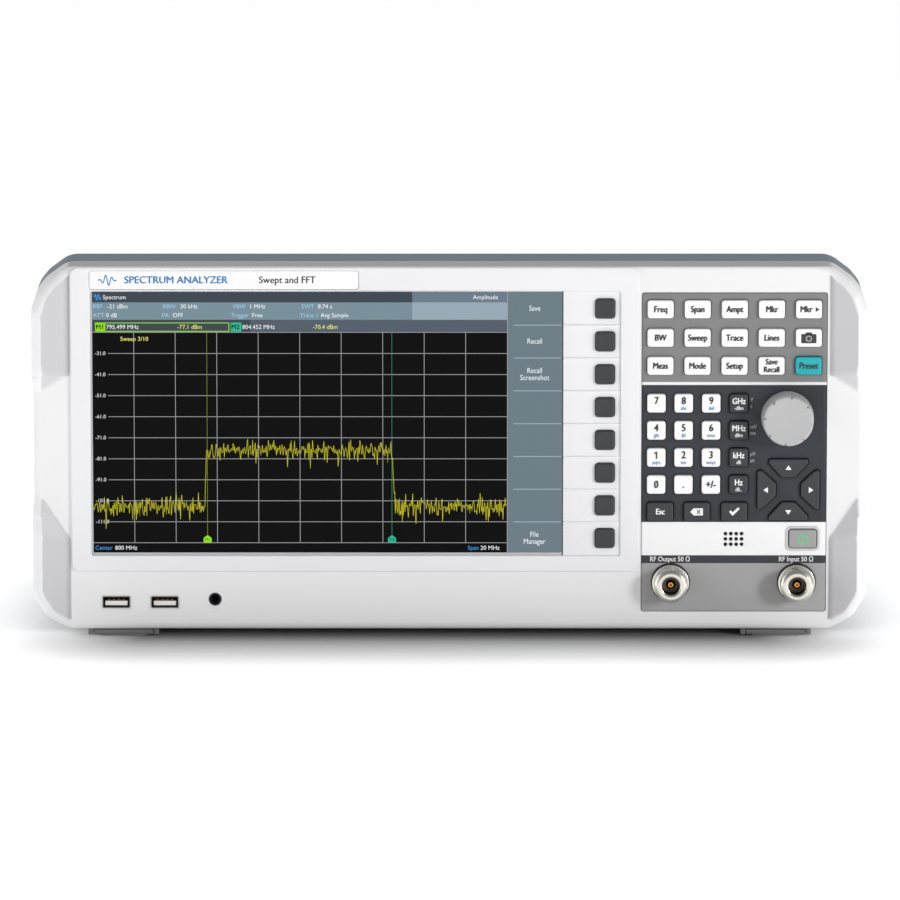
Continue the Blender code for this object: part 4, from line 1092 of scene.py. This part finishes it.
def build_badge():
    """A plain printed name and a generic wave mark on the badge."""
    depth = PLATE_FACE + 0.43
    z = (BADGE[2] + BADGE[3]) / 2
    wave = []
    for share in (i / 48 for i in range(49)):
        swell = 2.6 * math.sin(math.pi * share) ** 2
        wave.append(Vector((-166.0 + 9.0 * share, z + swell * math.sin(share * math.tau * 3))))
    piece("badge_wave", ribbon(wave, 0.55, depth), INK_BLUE, slot="print_ink")
    name = lettering("SPECTRUM ANALYZER", -153.5, z, 3.4, depth, 0.17, "LEFT", 1.0)
    piece("badge_name", name, INK_BLUE, slot="print_ink")
    note = lettering("Swept and FFT", -90.0, z, 3.3, depth, 0.10, "LEFT", 0.95)
    piece("badge_note", note, INK_BLACK, slot="print_ink")


# ---------------------------------------------------------------- housing and rear

REAR_WALL = 62.0
REAR_END = 73.5
BELT_BACK = -15.0
REAR_TOP = 161.6
REAR_SHRINK = 0.95
BNC_PLACES = ((-40.0, 118.0), (0.0, 118.0), (40.0, 118.0))
LAN_BOX = (-34.0, -18.0, 78.0, 91.5)
USB_B_BOX = (10.0, 22.0, 78.0, 89.0)
INLET_BOX = (-164.0, -137.0, 32.0, 52.0)
STAND_X = (160.0, 182.0)


def carved(solid, cutters):
    """The bmesh minus the cutters."""
    body, cutter = [linked("carved", mesh_of("carved", bm)) for bm in (solid, merged(cutters))]
    cut = body.modifiers.new("cut", "BOOLEAN")
    cut.operation = "DIFFERENCE"
    cut.solver = "EXACT"
    cut.object = cutter
    bm = baked(body)
    for made in (body, cutter):
        bpy.data.meshes.remove(made.data)
    return bm


def tapered(outline, share, y):
    """A ring of the outline at depth y, shrunk towards the rear: share 0 is the belt and 1 the rear wall."""
    side = 1 + (REAR_SHRINK - 1) * share
    height = 1 + ((REAR_TOP - BOTTOM) / (TOP - BOTTOM) - 1) * share
    return [(p.x * side, y, BOTTOM + (p.y - BOTTOM) * height) for p in outline]


def side_slot(side, y):
    """A cutter for one slot with round ends through a side wall."""
    reach = 36.0
    bm = curve_solid([centred(y, 82.5, 2.4, 45.0, 1.19)], 0.0, reach, 0.0)
    place = Matrix.Translation(((side * 187.0 + reach / 2) * MM, 0.0, 0.0))
    bm.transform(place @ Matrix.Rotation(math.pi / 2, 4, "Z"))
    return bm


def build_housing():
    """The housing: a belt behind the bezel, a tapered hood with a rounded rear edge, and the cut openings."""
    outline = silhouette()
    inner, groove = grown(outline, -WALL), grown(outline, -0.5)
    front = BEZEL_BACK + 0.3
    stations = [
        (inner, 0.97, REAR_WALL - WALL), (inner, 0.0, BELT_BACK), (inner, 0.0, front), (groove, 0.0, front),
        (groove, 0.0, front + 0.8), (outline, 0.0, front + 1.2), (outline, 0.0, BELT_BACK - 0.6),
        (outline, 0.012, BELT_BACK + 1.0), (outline, 0.5, 22.0), (outline, 0.95, REAR_WALL - 4.0),
    ]
    for step in range(1, 6):
        angle = math.pi / 2 * step / 5
        edge = grown(outline, -3.0 * (1 - math.cos(angle)))
        stations.append((edge, 1.0, REAR_WALL - 3.2 + 3.2 * math.sin(angle)))
    shell = loft([tapered(*station) for station in stations])
    cutters = [side_slot(side, -0.8 + 5.5 * i) for side in (-1, 1) for i in range(10)]
    holes = [centred(-137.5, 61.5 + 7.0 * i, 55.0, 3.0, 1.49) for i in range(9)]
    holes += [grown(rectangle(*port), 0.4) for port in (LAN_BOX, USB_B_BOX, INLET_BOX)]
    holes += [circle(*place, 5.4) for place in BNC_PLACES]
    cutters += [curve_solid([hole], REAR_WALL - 6.0, REAR_WALL + 4.0, 0.0) for hole in holes]
    shell = carved(shell, cutters)
    piece("housing_shell", shell, HOUSING, slot="housing_blue_grey", angle=30.0, replaces="rear_housing")


def build_stands():
    """Corner stands behind the housing, its rear feet and their rubber pads."""
    for side, name in ((-1, "left"), (1, "right")):
        low, high = sorted((side * STAND_X[0], side * STAND_X[1]))
        parts = []
        for bottom, top in ((0.0, 26.0), (132.0, 155.0)):
            outline = rectangle(low, high, bottom, top, 4.0, 8)
            parts.append(curve_solid([outline], REAR_WALL - 1.0, REAR_END, 1.0, 4))
        parts.append(block((low + 0.5, 40.0, 0.6), (high - 0.5, REAR_WALL + 0.5, BOTTOM + 0.8), 0.6))
        piece(f"rear_stands_{name}", merged(parts), HOUSING, slot="housing_blue_grey")
        pad = block((low + 3.0, 42.0, 0.0), (high - 3.0, 60.0, 1.2), 0.4)
        piece(f"rear_pad_{name}", pad, FOOT, slot="foot_grey")


def screw(name, x, z, back):
    """A pan-head screw with a cross recess, facing the rear."""
    profile = rounded_profile([(0.4, 0.0, 0), (2.2, 0.0, 0.5), (2.75, -1.3, 0.2), (2.75, -1.8, 0)], 4, back)
    head = turned(profile, x, z, 40)
    for half_x, half_z, deep in ((1.5, 0.3, 0.9), (0.3, 1.5, 0.8)):
        slot = block((-half_x, back - deep, -half_z), (half_x, back + 1.0, half_z), 0.0)
        slot.transform(Matrix.Translation((x * MM, 0.0, z * MM)) @ Matrix.Rotation(0.4, 4, "Y"))
        head = carved(head, [slot])
    piece(name, head, STEEL, slot="screw_steel")


def build_bnc_sockets():
    shell = [
        (3.95, 1.5, 0), (3.95, 10.5, 0.2), (4.8, 10.5, 0.3), (4.8, 2.6, 0.1), (6.6, 2.5, 0.2),
        (6.6, 0.05, 0.1), (4.9, 0.05, 0), (4.9, -12.5, 0), (3.95, -12.5, 0),
    ]
    core = [(0.5, 2.0, 0), (3.9, 2.0, 0.3), (3.9, -10.0, 0)]
    pin = [(0.45, 3.0, 0), (0.45, 8.5, 0.1), (1.2, 8.5, 0.2), (1.2, 1.8, 0)]
    for i, (x, z) in enumerate(BNC_PLACES, 1):
        parts = [tube(rounded_profile(shell, 3, REAR_WALL), x, z, 64)]
        parts += [bar(x + way, z, 1.4, 1.6, REAR_END - 5.2, REAR_END - 3.6, 0.3) for way in (-5.2, 5.2)]
        piece(f"bnc_body_{i}", merged(parts), NICKEL, slot="nickel")
        piece(f"bnc_core_{i}", turned(rounded_profile(core, 4, REAR_WALL), x, z, 48), TONGUE)
        piece(f"bnc_contact_{i}", turned(rounded_profile(pin, 3, REAR_WALL), x, z, 32), GOLD)


def build_rear_boards():
    """The board of the rear sockets with its shields, and the BNC, LAN and USB sockets on it."""
    low, _ = node_box("main_board")
    board = block((-95.0, 48.0, 25.0), (165.0, 49.6, 145.0), 0.1)
    piece("main_circuit_board", board, BOARD, slot="circuit_board", replaces="main_board")
    cans = (((60.0, low.y, 35.0), (155.0, 48.3, 130.0)), ((-80.0, 40.0, 60.0), (20.0, 48.3, 130.0)))
    piece("shield_cans", merged([block(*can, 0.8) for can in cans]), ZINC, slot="zinc_sheet")
    build_bnc_sockets()
    for name, port in (("lan", LAN_BOX), ("usb_b", USB_B_BOX)):
        low_x, high_x, low_z, high_z = port
        inner = rectangle(low_x + 0.8, high_x - 0.8, low_z + 0.8, high_z - 0.8, 0.3)
        plate(f"{name}_shell", [rectangle(*port, 0.5), inner], 50.0, REAR_WALL + 0.4, STEEL, 0.15, 2)
        plate(f"{name}_inside", [grown(inner, -0.03)], 50.0, 53.0, DARK, 0.05, 1)
    low_x, high_x, low_z, high_z = LAN_BOX
    contacts = [bar(-29.4 + i, high_z - 3.9, 0.4, 0.6, 53.0, 60.0, 0.05) for i in range(8)]
    piece("lan_contacts", merged(contacts), GOLD)
    latch = [bar(x, low_z + 1.75, 3.7, 1.7, 53.0, REAR_WALL, 0.1) for x in (low_x + 2.75, high_x - 2.75)]
    piece("lan_lining", merged(latch), DARK)
    piece("usb_b_tongue", bar(16.0, 83.5, 6.0, 3.6, 53.0, REAR_WALL - 1.2, 0.3), TONGUE)


def build_supply():
    """The power supply's case and its mains inlet."""
    low, high = node_box("power_supply")
    case = block(low, (high.x, 50.0, high.z), 1.0)
    piece("supply_case", case, ZINC, slot="zinc_sheet", replaces="power_supply")
    low_x, high_x, low_z, high_z = INLET_BOX
    x, z, reach = (low_x + high_x) / 2, (low_z + high_z) / 2, (high_x - low_x) / 2
    half = [(reach - 2.0, low_z + 2.0), (reach - 2.0, high_z - 6.5), (reach - 6.5, high_z - 2.0)]
    corners = [(x + a, b, 1.0) for a, b in half] + [(x - a, b, 1.0) for a, b in reversed(half)]
    mouth = rounded_polygon(corners, 4)
    body = [rectangle(*INLET_BOX, 1.5), mouth]
    plate("inlet_body", body, 50.2, REAR_WALL + 0.7, DARK, 0.4, slot="port_black")
    plate("inlet_floor", [grown(mouth, -0.03)], 50.2, 51.2, DARK, 0.05, 1)
    pins = [bar(x + a, z + b, 2.0, 4.0, 51.0, REAR_WALL - 4.5, 0.35) for a, b in ((-7, -2), (0, 2), (7, -2))]
    piece("inlet_pins", merged(pins), STEEL)


def build_screws():
    for i, (x, z) in enumerate(((x, z) for x in (-171.0, 171.0) for z in (13.0, 143.5)), 1):
        screw(f"stand_screw_{i}", x, z, REAR_END)
    for i, (x, z) in enumerate(((x, z) for z in (31.0, 139.0) for x in (-89.0, 159.0)), 1):
        screw(f"wall_screw_{i}", x, z, REAR_WALL + 1.5)


# ---------------------------------------------------------------- stage, in metres

# The footprint's half sizes, how far the floor's painted shadow and its painted glow reach, and how bright
# that glow gets.
FOOTPRINT = (0.145, 0.062, 0.0)
SHADE_REACH = 0.06
FLOOR_REACH = 0.09
PAINTED_FLOOR_GLOW = 0.69


def floor_material():
    """A pale floor with a painted shadow, darker near the object's footprint, and faintly glowing away from
    it as painted light.
    """
    made = surface("floor_painted_shadow", srgb(240), 0.5, 30.0, 0.0, 0.02, tint=0.004, wear=0.0)
    tree, shader, place = parts_of(made)
    apart = maths(tree, "ABSOLUTE", place["Object"], kind="VectorMath")
    beyond = maths(tree, "SUBTRACT", apart, FOOTPRINT, kind="VectorMath")
    reach = maths(tree, "LENGTH", maths(tree, "MAXIMUM", beyond, kind="VectorMath"), kind="VectorMath")
    # Painted shadow: the floor's colour darkens towards the object's footprint.
    base = mix(tree, ranged(tree, reach, 0.0, SHADE_REACH), (0.36, 0.36, 0.36), base_of(shader))
    # Painted light: the floor glows more the farther it lies from the footprint, and not at all round it.
    glow = ranged(tree, reach, 0.0, FLOOR_REACH, 0.0, PAINTED_FLOOR_GLOW)
    feed(shader, Base_Color=base, Specular_IOR_Level=0.1)
    feed(shader, Emission_Color=(1.0, 1.0, 1.0), Emission_Strength=glow)
    return made


def facing(made, place, aim):
    """Puts a lamp or a camera at a place and turns it to what it aims at."""
    made.location = place
    made.rotation_euler = (Vector(aim) - Vector(place)).to_track_quat("-Z", "Y").to_euler()


def lamp(name, place, aim, size, power):
    data = bpy.data.lights.new(name, "AREA")
    data.shape = "RECTANGLE"
    data.size, data.size_y = size
    data.energy = power
    facing(linked(name, data), place, aim)


def build_stage():
    """A pale floor, a soft sky that is dimmer overhead, and four soft lamps."""
    bm = bmesh.new()
    bmesh.ops.create_grid(bm, x_segments=1, y_segments=1, size=8.0)
    floor = linked("floor", mesh_of("floor", bm))
    floor.data.materials.append(floor_material())
    scene.world = bpy.data.worlds.new("studio")
    scene.world.use_nodes = True
    tree = scene.world.node_tree
    up = axes_of(tree, tree.nodes.new("ShaderNodeTexCoord").outputs["Generated"])["Z"]
    sky = ranged(tree, up, 0.1, 0.9, 0.42, 0.27)
    feed(tree.nodes["Background"], Color=(1.0, 1.0, 1.0), Strength=sky)
    lamp("key_light", (1.6, -1.45, 0.5), (0.0, 0.0, 0.08), (0.4, 0.4), 18.0)
    lamp("left_light", (-0.9, -0.35, 0.35), (-0.3, 0.0, 0.1), (0.6, 0.8), 2.2)
    lamp("right_light", (0.9, -0.35, 0.35), (0.3, 0.0, 0.1), (0.6, 0.8), 0.4)
    lamp("back_light", (0.0, 0.5, 1.5), (0.0, 0.0, 0.0), (0.8, 0.5), 4.0)


def build_camera():
    """A long lens straight in front, a little above the object."""
    distance, elevation, width = 4.0, math.radians(9.5), 0.4260
    target = Vector((0.0002, BEZEL_FACE * MM, 0.0904))
    data = bpy.data.cameras.new("camera")
    data.sensor_width = 36.0
    data.lens = data.sensor_width * distance / width
    data.clip_end = 60.0
    scene.camera = linked("camera", data)
    facing(scene.camera, target + Vector((0.0, -math.cos(elevation), math.sin(elevation))) * distance, target)


def finish_cad_nodes():
    """The two CAD nodes that stay visible get their looks."""
    for node, material in (("display_module", GLASS), ("keypad_board", BOARD)):
        nodes[node].data.materials.clear()
        nodes[node].data.materials.append(material)


build_camera()
build_stage()
finish_cad_nodes()
build_bezel()
build_feet()
build_housing()
build_stands()
build_rear_boards()
build_supply()
build_screws()
build_display_plate()
build_panel()
build_caps()
build_legends()
build_knob()
build_rf_sockets()
build_ports()
build_screen()
build_badge()
scene.view_settings.view_transform = "Standard"
